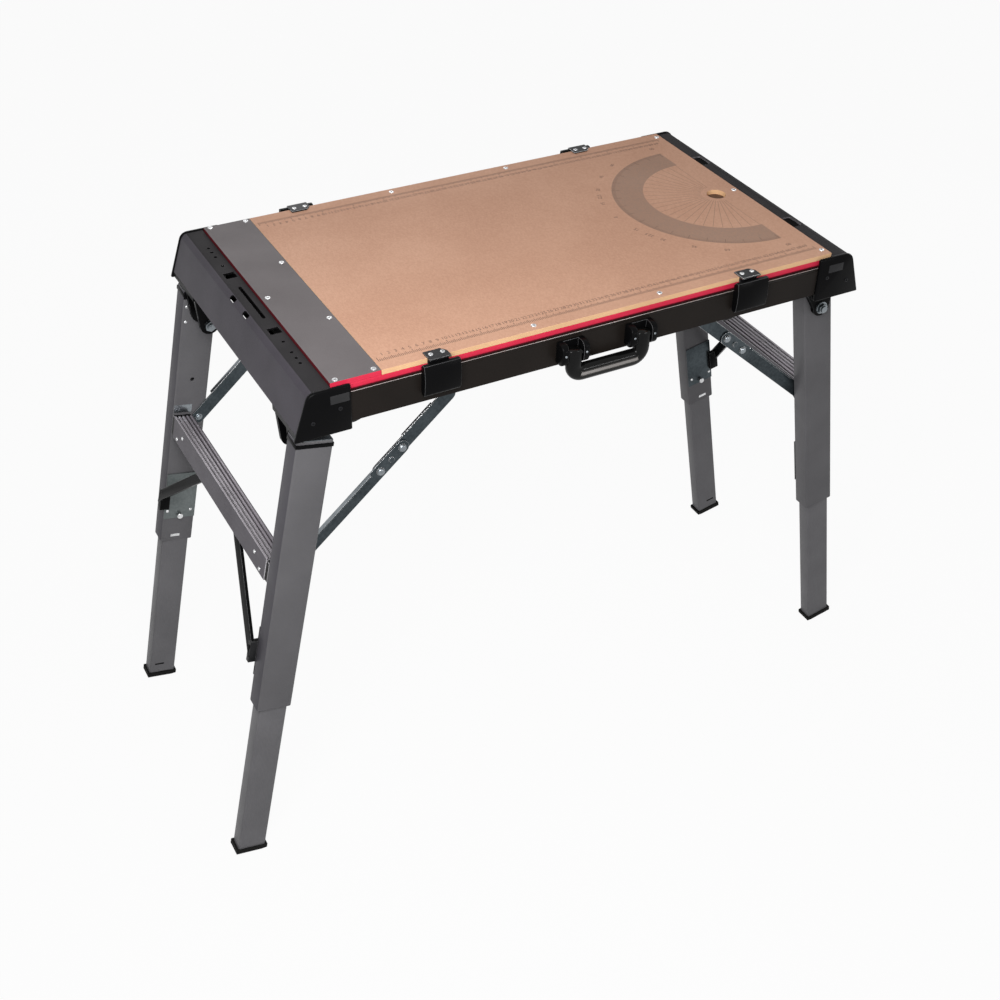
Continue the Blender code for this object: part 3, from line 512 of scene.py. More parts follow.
# Painted highlight on the rounded edges of black mouldings.
BLACK_EDGE = Finish("rubbed_moulding_edge", (0.070, 0.070, 0.073), (0.030, 0.030, 0.032), (0.22, 0.34),
                    specular=0.3)
# Painted shade for hollows, slots, recess floors, the lower tubes' slots and the dark sheet behind the left rail's
# holes.
BLACK_INSIDE = Finish("shaded_inside", (0.0036, 0.0034, 0.0036), (0.0026, 0.0025, 0.0026), (0.7, 0.85),
                      specular=0.03)
GLOSS_BLACK = Finish("glossy_grip", (0.0034, 0.0034, 0.0034), (0.0026, 0.0026, 0.0026), (0.14, 0.2),
                     specular=0.13, grain=1600.0, depth=0.00001)
# Painted highlight: a pale band along the grip's front, with a fainter band round it.
GRIP_HIGHLIGHT_FADE = Finish("faded_grip", (0.046, 0.044, 0.042), (0.032, 0.030, 0.029), (0.2, 0.28), specular=0.13)
GRIP_HIGHLIGHT = Finish("rubbed_grip", (0.270, 0.256, 0.246), (0.200, 0.190, 0.182), (0.26, 0.36), specular=0.13)
PAD_GREY = Finish("grey_pad", (0.026, 0.026, 0.027), (0.016, 0.016, 0.017), (0.36, 0.5), specular=0.12)
RUBBER = Finish("foot_rubber_black", (0.0090, 0.0088, 0.0086), (0.0058, 0.0056, 0.0055), (0.62, 0.8),
                specular=0.08, grain=700.0, depth=0.0001)
TYRE = Finish("tyre_grey", (0.034, 0.033, 0.033), (0.022, 0.021, 0.021), (0.5, 0.7), specular=0.2,
              grain=600.0)
KEEPER_DARK = Finish("dark_keeper", (0.016, 0.016, 0.018), (0.010, 0.010, 0.011), (0.3, 0.42), 0.3, 0.12,
                     grain=1500.0)
ZINC = ZincFinish("zinc_plate", (0.074, 0.089, 0.098), (0.027, 0.035, 0.040), (0.26, 0.44), 0.85, 0.3)
PLATE_ZINC = ZincFinish("zinc_sheet", (0.172, 0.190, 0.190), (0.094, 0.108, 0.108), (0.3, 0.46), 0.7, 0.3)
WORN_ZINC = ZincFinish("worn_zinc", (0.300, 0.325, 0.345), (0.170, 0.190, 0.205), (0.22, 0.36), 0.9)
# Bright zinc of screw, rivet and bolt heads, buttons and the spring clip; on the rounded edges of zinc pieces and
# keepers it is a painted highlight.
BRIGHT_ZINC_AND_HIGHLIGHT = ZincFinish("bright_zinc", (0.740, 0.745, 0.750), (0.540, 0.545, 0.555), (0.2, 0.34), 0.9)
# Painted shade: the step bar's sides are darker than its top.
BAR_SIDE_SHADE = Finish("bar_side_aluminium", (0.094, 0.084, 0.100), (0.068, 0.061, 0.073), (0.36, 0.5), 0.2, 0.2,
                  grain=2600.0, depth=0.00003, stretch=(1.0, 0.02, 1.0))
BAR_TOP = Finish("bar_top_aluminium", (0.390, 0.358, 0.394), (0.290, 0.266, 0.292), (0.32, 0.46), 0.3, 0.3,
                 grain=2600.0, depth=0.00003, stretch=(1.0, 0.02, 1.0))
BAR_GROOVE = Finish("bar_groove_shade", (0.085, 0.078, 0.085), (0.055, 0.050, 0.055), (0.4, 0.55), 0.3, 0.3)
# Painted highlight on the step bar's rounded edges.
BAR_EDGE = Finish("bright_bar_edge", (0.620, 0.600, 0.630), (0.480, 0.462, 0.486), (0.24, 0.34), 0.5)
FLOOR_WHITE = Finish("pale_floor", (0.62, 0.62, 0.62), (0.58, 0.58, 0.58), (0.7, 0.85), specular=0.1,
                     cloud=2.0)


# Making and placing pieces


class Workshop:
    """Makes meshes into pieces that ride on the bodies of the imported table."""

    weld = 0.000001
    solid_weld = 0.00001
    flat_angle = math.radians(0.8)
    edge_steps = 2

    @staticmethod
    def place(name: str, mesh: bpy.types.Mesh, body: str, slot: str) -> bpy.types.Object:
        """Put a mesh on a body.

        Args:
            name: Name of the piece.
            mesh: Its mesh, already where it belongs.
            body: Body that it rides on.
            slot: Material slot of the record; not used.

        Returns:
            The piece.
        """
        piece = show(name, mesh)
        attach(piece, body)
        log.info("%s rides on %s", name, body)
        return piece

    @staticmethod
    def mesh(name: str, shape: Shape, coats: Sequence[Finish],
             sharp: float = SHARP_ANGLE) -> bpy.types.Mesh:
        """Close a shape and shade it.

        Args:
            name: Name of the mesh.
            shape: Shape, freed afterwards.
            coats: Finishes in the order of the faces' indices.
            sharp: Angle in degrees past which an edge stays sharp.

        Returns:
            The finished mesh.
        """
        bmesh.ops.remove_doubles(shape, verts=shape.verts, dist=Workshop.weld)
        bmesh.ops.recalc_face_normals(shape, faces=shape.faces)
        mesh = bpy.data.meshes.new(name)
        shape.to_mesh(mesh)
        shape.free()
        for coat in coats:
            mesh.materials.append(coat.material())
        mesh.shade_smooth()
        mesh.set_sharp_from_angle(angle=math.radians(sharp))
        return mesh

    @staticmethod
    def piece(name: str, shape: Shape, coats: Sequence[Finish], body: str, slot: str,
              sharp: float = SHARP_ANGLE) -> bpy.types.Object:
        """Close and shade a shape and put it on a body, as mesh() and place() say."""
        return Workshop.place(name, Workshop.mesh(name, shape, coats, sharp), body, slot)

    @staticmethod
    def carry_over(node: str, body: str, slot: str, coats: Sequence[Finish], edge: float = PLAIN_EDGE,
                   edge_wear_and_highlight: int = -1, choose: Optional[Chooser] = None, angle: float = PLAIN_ANGLE,
                   merge: bool = True) -> None:
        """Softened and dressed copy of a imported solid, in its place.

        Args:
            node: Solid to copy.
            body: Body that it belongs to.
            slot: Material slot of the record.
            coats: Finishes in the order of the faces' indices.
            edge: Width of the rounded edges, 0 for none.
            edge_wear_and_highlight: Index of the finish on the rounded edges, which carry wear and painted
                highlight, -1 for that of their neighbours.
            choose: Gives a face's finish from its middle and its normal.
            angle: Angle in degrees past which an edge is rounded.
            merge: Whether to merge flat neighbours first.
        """
        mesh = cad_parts[node].data.copy()
        mesh.name = f"{node}_dressed"
        mesh.materials.clear()
        shape = bmesh.new()
        shape.from_mesh(mesh)
        bmesh.ops.remove_doubles(shape, verts=shape.verts, dist=Workshop.solid_weld)
        if merge:
            bmesh.ops.dissolve_limit(shape, angle_limit=Workshop.flat_angle, verts=shape.verts, edges=shape.edges)
        for face in shape.faces:
            face.smooth = True
            face.material_index = choose(face.calc_center_median(), face.normal) if choose else 0
        shape.to_mesh(mesh)
        shape.free()
        for coat in coats:
            mesh.materials.append(coat.material())
        mesh.set_sharp_from_angle(angle=math.radians(angle))
        piece = Workshop.place(f"{node}_dressed", mesh, body, slot)
        if edge:
            bevel = piece.modifiers.new("Rounded edges", "BEVEL")
            bevel.width = edge
            bevel.segments = Workshop.edge_steps
            bevel.limit_method = "ANGLE"
            bevel.angle_limit = math.radians(angle)
            bevel.harden_normals = True
            bevel.material = edge_wear_and_highlight
        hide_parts(node)

    @staticmethod
    def block(shape: Shape, low: Sequence[float], high: Sequence[float], radius: float = PLAIN_EDGE,
              turn: Optional[Matrix] = None) -> None:
        """Add a block with rounded edges to a shape.

        Args:
            shape: Shape to add to.
            low: Lowest corner.
            high: Highest corner.
            radius: Radius of its edges.
            turn: Place of the block's frame, the world's when left out.
        """
        part = bmesh.new()
        bmesh.ops.create_cube(part, size=1.0)
        size = [high[axis] - low[axis] for axis in range(3)]
        middle = [(high[axis] + low[axis]) / 2 for axis in range(3)]
        place = Matrix.Translation(middle) @ Matrix.Diagonal((*size, 1.0))
        bmesh.ops.transform(part, matrix=place, verts=part.verts)
        bmesh.ops.bevel(part, geom=part.edges, offset=radius, segments=Workshop.edge_steps, profile=0.5,
                        affect="EDGES")
        if turn:
            bmesh.ops.transform(part, matrix=turn, verts=part.verts)
        Workshop.join(shape, part)

    @staticmethod
    def join(shape: Shape, part: Shape) -> None:
        """Move the faces of one shape into another.

        Args:
            shape: Shape to add to.
            part: Shape to add, freed afterwards.
        """
        fresh = {vert: shape.verts.new(vert.co) for vert in part.verts}
        for face in part.faces:
            shape.faces.new([fresh[vert] for vert in face.verts])
        part.free()

    @staticmethod
    def skin(shape: Shape, rings: Sequence[Sequence[bmesh.types.BMVert]]) -> None:
        """Join rings of corners, one to the next.

        Args:
            shape: Shape that holds the rings.
            rings: Corners of each ring, all in the same order.
        """
        for low, high in zip(rings, rings[1:]):
            for step in range(len(low)):
                shape.faces.new((low[step - 1], low[step], high[step], high[step - 1]))

    @staticmethod
    def lathe(profile: Sequence[Pair], steps: int) -> Shape:
        """Turn a profile about Z.

        Args:
            profile: Radius and height of each ring, from below to the top.
            steps: Faces round the axis.

        Returns:
            The closed shape.
        """
        shape = bmesh.new()
        rings = [[shape.verts.new((radius * math.cos(turn), radius * math.sin(turn), height))
                  for turn in ring_turns(steps)] for radius, height in profile]
        Workshop.skin(shape, rings)
        shape.faces.new(rings[0][::-1])
        shape.faces.new(rings[-1])
        return shape


class NodeTree(NodeLayout):
    """Geometry node tree with named inputs, run once to a plain mesh."""

    def __init__(self, name: str, numbers: Sequence[str], **others: str) -> None:
        """Start a tree.

        Args:
            name: Name of the tree.
            numbers: Names of the inputs that are numbers.
            others: Kind of each other input after the geometry.
        """
        super().__init__(bpy.data.node_groups.new(name, "GeometryNodeTree"))
        for label, kind in {"Geometry": "Geometry", **dict.fromkeys(numbers, "Float"), **others}.items():
            self.tree.interface.new_socket(label, in_out="INPUT", socket_type=f"NodeSocket{kind}")
        self.tree.interface.new_socket("Geometry", in_out="OUTPUT", socket_type="NodeSocketGeometry")
        self.inputs = self.node("NodeGroupInput").outputs

    def vector(self, across: object, along: object, up: object) -> Socket:
        """Put three values together."""
        return self.node("ShaderNodeCombineXYZ", across, along, up).outputs[0]

    def close(self, points: Socket, copied: Socket, **more: object) -> None:
        """End the tree in real copies of a shape, with the finish that the tree is given.

        Args:
            points: Points that the copies stand on.
            copied: Shape to copy.
            more: Turn or scale of the copies.
        """
        copies = self.node("GeometryNodeInstanceOnPoints", Points=points, Instance=copied, **more)
        real = self.node("GeometryNodeRealizeInstances", Geometry=copies.outputs["Instances"])
        dress = self.node("GeometryNodeSetMaterial", Geometry=real.outputs["Geometry"],
                          Material=self.inputs["Finish"])
        self.node("NodeGroupOutput", dress.outputs["Geometry"])

    def run(self, name: str, base: bpy.types.Mesh, values: dict[str, object]) -> bpy.types.Mesh:
        """Run the tree on a mesh.

        Args:
            name: Name of the result.
            base: Mesh that the tree starts from.
            values: Value of each named input.

        Returns:
            The plain mesh.
        """
        holder = show(f"{name}_holder", base)
        change = holder.modifiers.new("Nodes", "NODES")
        change.node_group = self.tree
        for item in self.tree.interface.items_tree:
            if item.in_out == "INPUT" and item.name in values:
                change[item.identifier] = values[item.name]
        bpy.context.view_layer.update()
        mesh = plain_mesh(holder)
        mesh.name = name
        holder.modifiers.remove(change)
        bpy.data.objects.remove(holder)
        return mesh


class Fasteners:
    """Screws, rivets and bolts that are set on faces by a node tree; the heads have a radius of 1."""

    pan = ((1.0, -0.05), (1.0, 0.10), (0.93, 0.22), (0.72, 0.31))
    dome = ((1.0, -0.05), (1.0, 0.06), (0.9, 0.24), (0.64, 0.40), (0.3, 0.47))
    washer = ((1.0, -0.05), (1.0, 0.10), (0.94, 0.16), (0.72, 0.16))
    hexagon = ((0.70, 0.10), (0.70, 0.46), (0.60, 0.54))
    round_steps = 16
    washer_steps = 18
    cross_arm = 0.46
    cross_slim = 0.13
    cross_top = 0.33
    cross_floor = 0.08
    cross_taper = 0.8

    def __init__(self) -> None:
        """Build the tree."""
        tree = NodeTree("set_fasteners", ("Size",), Head="Object", Finish="Material")
        head = tree.node("GeometryNodeObjectInfo", Object=tree.inputs["Head"])
        way = tree.node("GeometryNodeInputNamedAttribute", Name="facing")
        way.data_type = "FLOAT_VECTOR"
        turn = tree.node("FunctionNodeAlignRotationToVector", Vector=way.outputs["Attribute"])
        turn.axis = "Z"
        tree.close(tree.inputs["Geometry"], head.outputs["Geometry"], Rotation=turn.outputs["Rotation"],
                   Scale=tree.inputs["Size"])
        self.nodes = tree

    def cross_head(self) -> Shape:
        """Pan head with a cross recess."""
        shape = Workshop.lathe(self.pan, self.round_steps)
        cap = max(shape.faces, key=lambda face: face.calc_center_median().z)
        bmesh.ops.delete(shape, geom=[cap], context="FACES_ONLY")
        rim = [edge for edge in shape.edges if edge.is_boundary]
        arm, slim, taper = self.cross_arm, self.cross_slim, self.cross_taper
        outline = [(arm, -slim), (arm, slim), (slim, slim)]
        while len(outline) < 12:
            outline.append((-outline[-3][1], outline[-3][0]))
        upper = [shape.verts.new((x, y, self.cross_top)) for x, y in outline]
        lower = [shape.verts.new((taper * x, taper * y, self.cross_floor)) for x, y in outline]
        cross = [shape.edges.new((upper[step - 1], upper[step])) for step in range(12)]
        bmesh.ops.triangle_fill(shape, edges=rim + cross, use_beauty=True)
        inside = [face for face in shape.faces if all(vert in upper for vert in face.verts)]
        bmesh.ops.delete(shape, geom=inside, context="FACES_ONLY")
        Workshop.skin(shape, (upper, lower))
        shape.faces.new(lower)
        return shape

    def head(self, kind: Head) -> Shape:
        """Head of one kind, standing on z = 0.

        Args:
            kind: Kind of head.

        Returns:
            The closed shape.
        """
        if kind is Head.CROSS_SCREW:
            return self.cross_head()
        if kind is Head.RIVET:
            return Workshop.lathe(self.dome, self.round_steps)
        shape = Workshop.lathe(self.washer, self.washer_steps)
        Workshop.join(shape, Workshop.lathe(self.hexagon, 6))
        return shape

    def set(self, name: str, kind: Head, size: float, spots: Sequence[tuple[Point, Point]], body: str,
            slot: str, finish: Finish = BRIGHT_ZINC_AND_HIGHLIGHT) -> None:
        """Set heads of one kind on one body.

        Args:
            name: Name of the piece.
            kind: Kind of head.
            size: Radius of a head.
            spots: Place and outward direction of each.
            body: Body that they ride on.
            slot: Material slot of the record.
            finish: Finish of the heads.
        """
        master = show(f"{name}_head", Workshop.mesh(f"{name}_head", self.head(kind), ()))
        base = bpy.data.meshes.new(f"{name}_spots")
        base.from_pydata([at for at, way in spots], [], [])
        ways = base.attributes.new("facing", "FLOAT_VECTOR", "POINT")
        for entry, (at, way) in zip(ways.data, spots):
            entry.vector = way
        mesh = self.nodes.run(name, base, {"Head": master, "Size": size, "Finish": finish.material()})
        bpy.data.objects.remove(master)
        mesh.shade_smooth()
        mesh.set_sharp_from_angle(angle=math.radians(SHARP_ANGLE))
        Workshop.place(name, mesh, body, slot)


# Sub-assemblies


@dataclass
class Worktop:
    """Board with its print, wear plate, deck panel and their screws."""

    fasteners: Fasteners
    face: float = 0.808
    hole: Pair = (0.354, 0.0)
    hole_radius: float = 0.015
    hole_floor: float = 0.8006
    floor_rings: tuple[Pair, ...] = ((0.0004, -0.0003), (0.0004, 0.0002), (0.0012, 0.0005))
    floor_steps: int = 32
    ruler_line: float = 0.2130
    ruler_start: float = -0.318
    ruler_pitch: float = 0.0025
    ruler_marks: int = 281
    mark_lengths: tuple[float, float, float] = (0.0052, 0.0070, 0.0095)
    mark_line: float = 0.0010
    marks_apart: tuple[int, int] = (4, 20)
    numbers: int = 69
    number_inset: float = 0.0145
    number_size: float = 0.0088
    print_thick: float = 0.00012
    letter_steps: int = 3
    fan_lines: tuple[tuple[str, int, Pair, float, Finish], ...] = (
        ("protractor_degrees", 181, (0.1565, 0.1620), 0.0005, BOARD_PRINT),
        ("protractor_tens", 19, (0.1500, 0.1620), 0.0008, BOARD_PRINT),
        ("protractor_fan", 25, (0.0240, 0.1130), 0.0007, FAINT_PRINT))
    angles: tuple[float, ...] = (-90, -60, -45, -30, -22.5, -15, 0, 15, 22.5, 30, 45, 60, 90)
    angle_radius: float = 0.183
    angle_size: float = 0.0085
    screw_radius: float = 0.0040
    plate_screws: tuple[Pair, ...] = (
        (-0.332, -0.226), (-0.332, -0.085), (-0.332, 0.085), (-0.332, 0.226),
        (-0.386, -0.228), (-0.386, 0.0), (-0.386, 0.228))
    board_screws: tuple[Pair, ...] = (
        (-0.097, -0.222), (-0.097, 0.222), (0.103, -0.222), (0.103, 0.222),
        (0.387, -0.219), (0.387, 0.0), (0.387, 0.219))

    def build(self) -> None:
        """Build and dress the worktop."""
        self.dress_solids()
        self.close_hole()
        self.set_screws()
        self.print_rulers()
        self.print_fan()
        self.print_numbers()

    def dress_solids(self) -> None:
        """Board, plate and deck with softened edges."""
        def board_face(middle: Vector, normal: Vector) -> int:
            """Finish of one board face: 0 for the top, 1 for the cut edges."""
            return 0 if abs(normal.z) > MOSTLY else 1

        def plate_face(middle: Vector, normal: Vector) -> int:
            """Finish of one plate face: 1 on the red long sides, 2 on the shaded end."""
            return 2 if normal.x < -MAINLY else 1 if abs(normal.y) > MAINLY else 0
        Workshop.carry_over("work_board", "table", "board_tan", (BOARD_FACE, BOARD_EDGE), choose=board_face)
        Workshop.carry_over("wear_plate", "table", "wear_plate_steel", (PLATE_PAINT, DECK_RED, SHADED_RED),
                            SLIM_EDGE, choose=plate_face)
        Workshop.carry_over("deck_panel", "table", "deck_red", (DECK_RED,), DECK_EDGE)

    def close_hole(self) -> None:
        """Floor of the finger hole, its tan painted dark brown as shade."""
        rings = [(self.hole_radius - inset, self.hole_floor + rise) for inset, rise in self.floor_rings]
        shape = Workshop.lathe(rings, self.floor_steps)
        bmesh.ops.translate(shape, vec=(*self.hole, 0.0), verts=shape.verts)
        Workshop.piece("hole_floor", shape, (BOARD_SHADE,), "table", "board_tan")

    def set_screws(self) -> None:
        """Screws in the wear plate and the board."""
        for name, places, slot in (("wear_plate_screws", self.plate_screws, "wear_plate_steel"),
                                   ("board_screws", self.board_screws, "board_tan")):
            spots = [((x, y, self.face), UP) for x, y in places]
            self.fasteners.set(name, Head.CROSS_SCREW, self.screw_radius, spots, "table", slot)

    def print_rulers(self) -> None:
        """Ruler marks along both long edges, every fourth and twentieth one longer."""
        numbers = ("Pitch", "Way", "Short", "Middle", "Long", "Line", "Thick")
        nodes = NodeTree("ruler_marks", numbers, Count="Int", Start="Vector", Finish="Material")
        given = nodes.inputs
        line = nodes.node("GeometryNodeMeshLine", Count=given["Count"], Start_Location=given["Start"],
                          Offset=nodes.vector(given["Pitch"], 0.0, 0.0))
        index = nodes.node("GeometryNodeInputIndex").outputs[0]
        fourth, twentieth = (nodes.sum("LESS_THAN", nodes.sum("MODULO", index, float(apart)), 0.5)
                             for apart in self.marks_apart)
        longer = nodes.sum("MULTIPLY", fourth, nodes.sum("SUBTRACT", given["Middle"], given["Short"]))
        longest = nodes.sum("MULTIPLY", twentieth, nodes.sum("SUBTRACT", given["Long"], given["Middle"]))
        length = nodes.sum("ADD", given["Short"], nodes.sum("ADD", longer, longest))
        shift = nodes.sum("MULTIPLY", nodes.sum("MULTIPLY", length, given["Way"]), 0.5)
        moved = nodes.node("GeometryNodeSetPosition", Geometry=line.outputs["Mesh"],
                           Offset=nodes.vector(0.0, shift, 0.0))
        mark = nodes.node("GeometryNodeMeshCube", Size=nodes.vector(given["Line"], 1.0, given["Thick"]))
        nodes.close(moved.outputs["Geometry"], mark.outputs["Mesh"], Scale=nodes.vector(1.0, length, 1.0))
        short, middle, long = self.mark_lengths
        for row in Row:
            start = (self.ruler_start, row.value * self.ruler_line, self.face)
            self.stamp(nodes, f"ruler_marks_{row.tag}", {
                "Count": self.ruler_marks, "Pitch": self.ruler_pitch, "Start": start,
                "Way": float(-row.value), "Short": short, "Middle": middle, "Long": long,
                "Line": self.mark_line, "Thick": self.print_thick, "Finish": BOARD_PRINT.material()})

    def print_fan(self) -> None:
        """Degree marks of the protractor and the faint lines that lead to them."""
        numbers = ("Step", "First", "Inner", "Outer", "Line", "Thick")
        nodes = NodeTree("protractor_lines", numbers, Count="Int", Centre="Vector", Finish="Material")
        given = nodes.inputs
        line = nodes.node("GeometryNodeMeshLine", Count=given["Count"], Offset=nodes.vector(0.0, 0.0, 0.0))
        index = nodes.node("GeometryNodeInputIndex").outputs[0]
        turn = nodes.sum("ADD", given["First"], nodes.sum("MULTIPLY", index, given["Step"]))
        radius = nodes.sum("MULTIPLY", nodes.sum("ADD", given["Inner"], given["Outer"]), 0.5)
        spot = nodes.vector(nodes.sum("MULTIPLY", radius, nodes.sum("COSINE", turn, 0.0)),
                            nodes.sum("MULTIPLY", radius, nodes.sum("SINE", turn, 0.0)), 0.0)
        moved = nodes.node("GeometryNodeSetPosition", Geometry=line.outputs["Mesh"], Position=spot,
                           Offset=given["Centre"])
        reach = nodes.sum("SUBTRACT", given["Outer"], given["Inner"])
        mark = nodes.node("GeometryNodeMeshCube", Size=nodes.vector(reach, given["Line"], given["Thick"]))
        turned = nodes.node("FunctionNodeEulerToRotation", nodes.vector(0.0, 0.0, turn))
        nodes.close(moved.outputs["Geometry"], mark.outputs["Mesh"], Rotation=turned.outputs[0])
        for name, count, (inner, outer), width, finish in self.fan_lines:
            self.stamp(nodes, name, {
                "Count": count, "Step": math.pi / (count - 1), "First": math.pi / 2,
                "Centre": (*self.hole, self.face), "Inner": inner, "Outer": outer, "Line": width,
                "Thick": self.print_thick, "Finish": finish.material()})

    @staticmethod
    def stamp(nodes: NodeTree, name: str, values: dict[str, object]) -> None:
        """Run a tree of print marks and lay the result on the board."""
        mesh = nodes.run(name, bpy.data.meshes.new(f"{name}_base"), values)
        Workshop.place(name, mesh, "table", "board_tan")

    def print_numbers(self) -> None:
        """Ruler numbers and protractor angles."""
        shape = bmesh.new()
        for count in range(1, self.numbers + 1):
            x = self.ruler_start + count * self.marks_apart[0] * self.ruler_pitch
            for row in Row:
                at = Matrix.Translation((x, row.value * (self.ruler_line - self.number_inset), self.face))
                turn = Matrix.Rotation(0.0 if row is Row.FRONT else math.pi, 4, "Z")
                self.write(shape, str(count), self.number_size, at @ turn)
        for angle in self.angles:
            turn = math.pi + math.radians(angle)
            spot = (self.hole[0] + self.angle_radius * math.cos(turn),
                    self.hole[1] + self.angle_radius * math.sin(turn), self.face)
            upright = Matrix.Rotation(turn - math.pi / 2, 4, "Z")
            self.write(shape, f"{abs(angle):g}", self.angle_size, Matrix.Translation(spot) @ upright)
        Workshop.piece("scale_numbers", shape, (BOARD_PRINT,), "table", "board_tan")

    def write(self, shape: Shape, words: str, size: float, place: Matrix) -> None:
        """Add one printed number.

        Args:
            shape: Shape to add to.
            words: The number.
            size: Height of its letters.
            place: Place of its middle.
        """
        curve = bpy.data.curves.new("number", "FONT")
        curve.body = words
        curve.size = size
        curve.align_x = "CENTER"
        curve.align_y = "CENTER"
        curve.extrude = self.print_thick / 2
        curve.resolution_u = self.letter_steps
        holder = show("number", curve)
        mesh = plain_mesh(holder)
        mesh.transform(place)
        shape.from_mesh(mesh)
        bpy.data.objects.remove(holder)
        bpy.data.meshes.remove(mesh)


@dataclass
class TableFrame:
    """Long rails, end rails, corner castings and the cross plates under the deck."""

    fasteners: Fasteners
    cap_face: float = 0.242
    pocket_floor: float = 0.8020
    pocket_play: float = 0.0006
    rail_foot: float = 0.7480
    lip_reach: float = 0.3695
    lip_depth: Pair = (0.2333, 0.2379)
    lip_height: Pair = (0.7866, 0.7916)
    # Corners of the dark sheet of painted shade behind the left rail's holes.
    return_low: Point = (-0.4000, -0.060, 0.7488)
    return_high: Point = (-0.3800, 0.170, 0.7502)
    pivot: Pair = (0.424, 0.693)
    lugs: Pair = (0.1539, 0.2001)
    washer_radius: float = 0.0104
    bolt_radius: float = 0.0075
    pad_size: Pair = (0.026, 0.0125)
    pad_depth: Pair = (-0.0004, 0.0005)
    pads: tuple[Pair, Pair] = ((-0.386, 0.7885), (0.400, 0.7870))
    screw_radius: float = 0.0030
    cap_screws: tuple[Pair, ...] = ((0.386, 0.7735), (0.4237, 0.7613))

    def build(self) -> None:
        """Build and dress the frame."""
        for row in Row:
            Workshop.carry_over(f"{row.tag}_rail", "table", "rail_dark_paint", (RAIL_PAINT,), FINE_EDGE)
            self.lay_lip(row)
        self.dress_end_rails()
        self.line_end_rail()
        for side in Side:
            Workshop.carry_over(f"{side.tag}_cross_plate", "table", "zinc_steel", (ZINC,))
            for row in Row:
                self.dress_corner(side, row)

    def lay_lip(self, row: Row) -> None:
        """Raised lip along the upper edge of a long rail, with a painted highlight on its outer upper faces.

        Args:
            row: Long side of the table.
        """
        near, far = span(row.value, *self.lip_depth)
        low, high = self.lip_height
        shape = bmesh.new()
        Workshop.block(shape, (-self.lip_reach, near, low), (self.lip_reach, far, high))
        shape.normal_update()
        for face in shape.faces:
            if face.normal.z > SLIGHTLY and face.normal.y * row.value > SLIGHTLY:
                face.material_index = 1
        Workshop.piece(f"{row.tag}_rail_lip", shape, (RAIL_PAINT, RAIL_EDGE_HIGHLIGHT), "table", "rail_dark_paint")

    def line_end_rail(self) -> None:
        """Dark sheet behind the left rail's oval holes, painted shade that closes the view through them."""
        shape = bmesh.new()
        Workshop.block(shape, self.return_low, self.return_high, SLIM_EDGE)
        Workshop.piece("end_rail_return", shape, (BLACK_INSIDE,), "table", "end_rail_paint")

    def dress_end_rails(self) -> None:
        """Left rail with its slots, right rail with its two recesses; the hollow, the slots and the recess floors
        are painted dark as shade, and the flat top darker as shade.
        """
        def inside(middle: Vector, normal: Vector) -> int:
            """Finish of one rail face: 2, painted shade, in the hollow, a slot or a recess; 3, painted shade, on
            the flat top.
            """
            outward = normal.x if middle.x > 0 else -normal.x
            recess = (middle.x > 0 and normal.z > CLOSELY
                      and abs(middle.z - self.pocket_floor) < self.pocket_play)
            shown = normal.z > BARELY and outward > -BARELY or middle.z < self.rail_foot
            return 2 if recess or not shown else 3 if normal.z > FULLY else 0
        for side in Side:
            Workshop.carry_over(f"{side.tag}_end_rail", "table", "end_rail_paint",
                                (END_PAINT, END_EDGE, BLACK_INSIDE, END_TOP_SHADE), FINE_EDGE, 1, inside,
                                angle=COARSE_ANGLE)

    def dress_corner(self, side: Side, row: Row) -> None:
        """Corner casting with its pad and its sunk screws.

        Args:
            side: End of the table.
            row: Long side of the table.
        """
        tag = tag_of(side, row)

        def pivot_face(middle: Vector, normal: Vector) -> int:
            """Finish of one corner face: 2 on the pivot's washer, 3 on its bolt."""
            reach = math.hypot(abs(middle.x) - self.pivot[0], middle.z - self.pivot[1])
            if reach > self.washer_radius or self.lugs[0] < abs(middle.y) < self.lugs[1]:
                return 0
            return 3 if abs(normal.y) > MAINLY and reach < self.bolt_radius else 2
        Workshop.carry_over(f"corner_{tag}", "table", "black_plastic",
                            (BLACK_PLASTIC, BLACK_EDGE, ZINC, WORN_ZINC), PLAIN_EDGE, 1, pivot_face,
                            angle=COARSE_ANGLE)
        x, z = self.pads[side is Side.RIGHT]
        half, tall = self.pad_size[0] / 2, self.pad_size[1] / 2
        near, far = span(row.value, *(self.cap_face + part for part in self.pad_depth))
        shape = bmesh.new()
        Workshop.block(shape, (x - half, near, z - tall), (x + half, far, z + tall), FINE_EDGE)
        Workshop.piece(f"cap_pad_{tag}", shape, (PAD_GREY,), "table", "black_plastic")
        spots = [((side.value * x, row.value * self.cap_face, z), row.way()) for x, z in self.cap_screws]
        self.fasteners.set(f"cap_screws_{tag}", Head.CROSS_SCREW, self.screw_radius, spots, "table",
                           "black_plastic", KEEPER_DARK)


@dataclass
class Latches:
    """Flip latches on the long rails and their keepers on the board."""

    fasteners: Fasteners
    middle: float = 0.245
    keeper_top: float = 0.8103
    screw_reach: float = 0.2300
    screw_gap: float = 0.0085
    screw_radius: float = 0.0034

    def build(self) -> None:
        """Build and dress the latches and keepers."""
        for side, row, tag in corners():
            Workshop.carry_over(f"latch_{tag}", f"latch_{tag}", "black_plastic", (BLACK_PLASTIC, BLACK_EDGE),
                                SLIM_EDGE, 1, angle=FINE_ANGLE)
            Workshop.carry_over(f"keeper_{tag}", "table", "zinc_steel", (KEEPER_DARK, BRIGHT_ZINC_AND_HIGHLIGHT), FINE_EDGE, 1)
            across = [side.value * self.middle + gap for gap in (-self.screw_gap, self.screw_gap)]
            spots = [((x, row.value * self.screw_reach, self.keeper_top), UP) for x in across]
            self.fasteners.set(f"keeper_screws_{tag}", Head.CROSS_SCREW, self.screw_radius, spots, "table",
                               "zinc_steel")


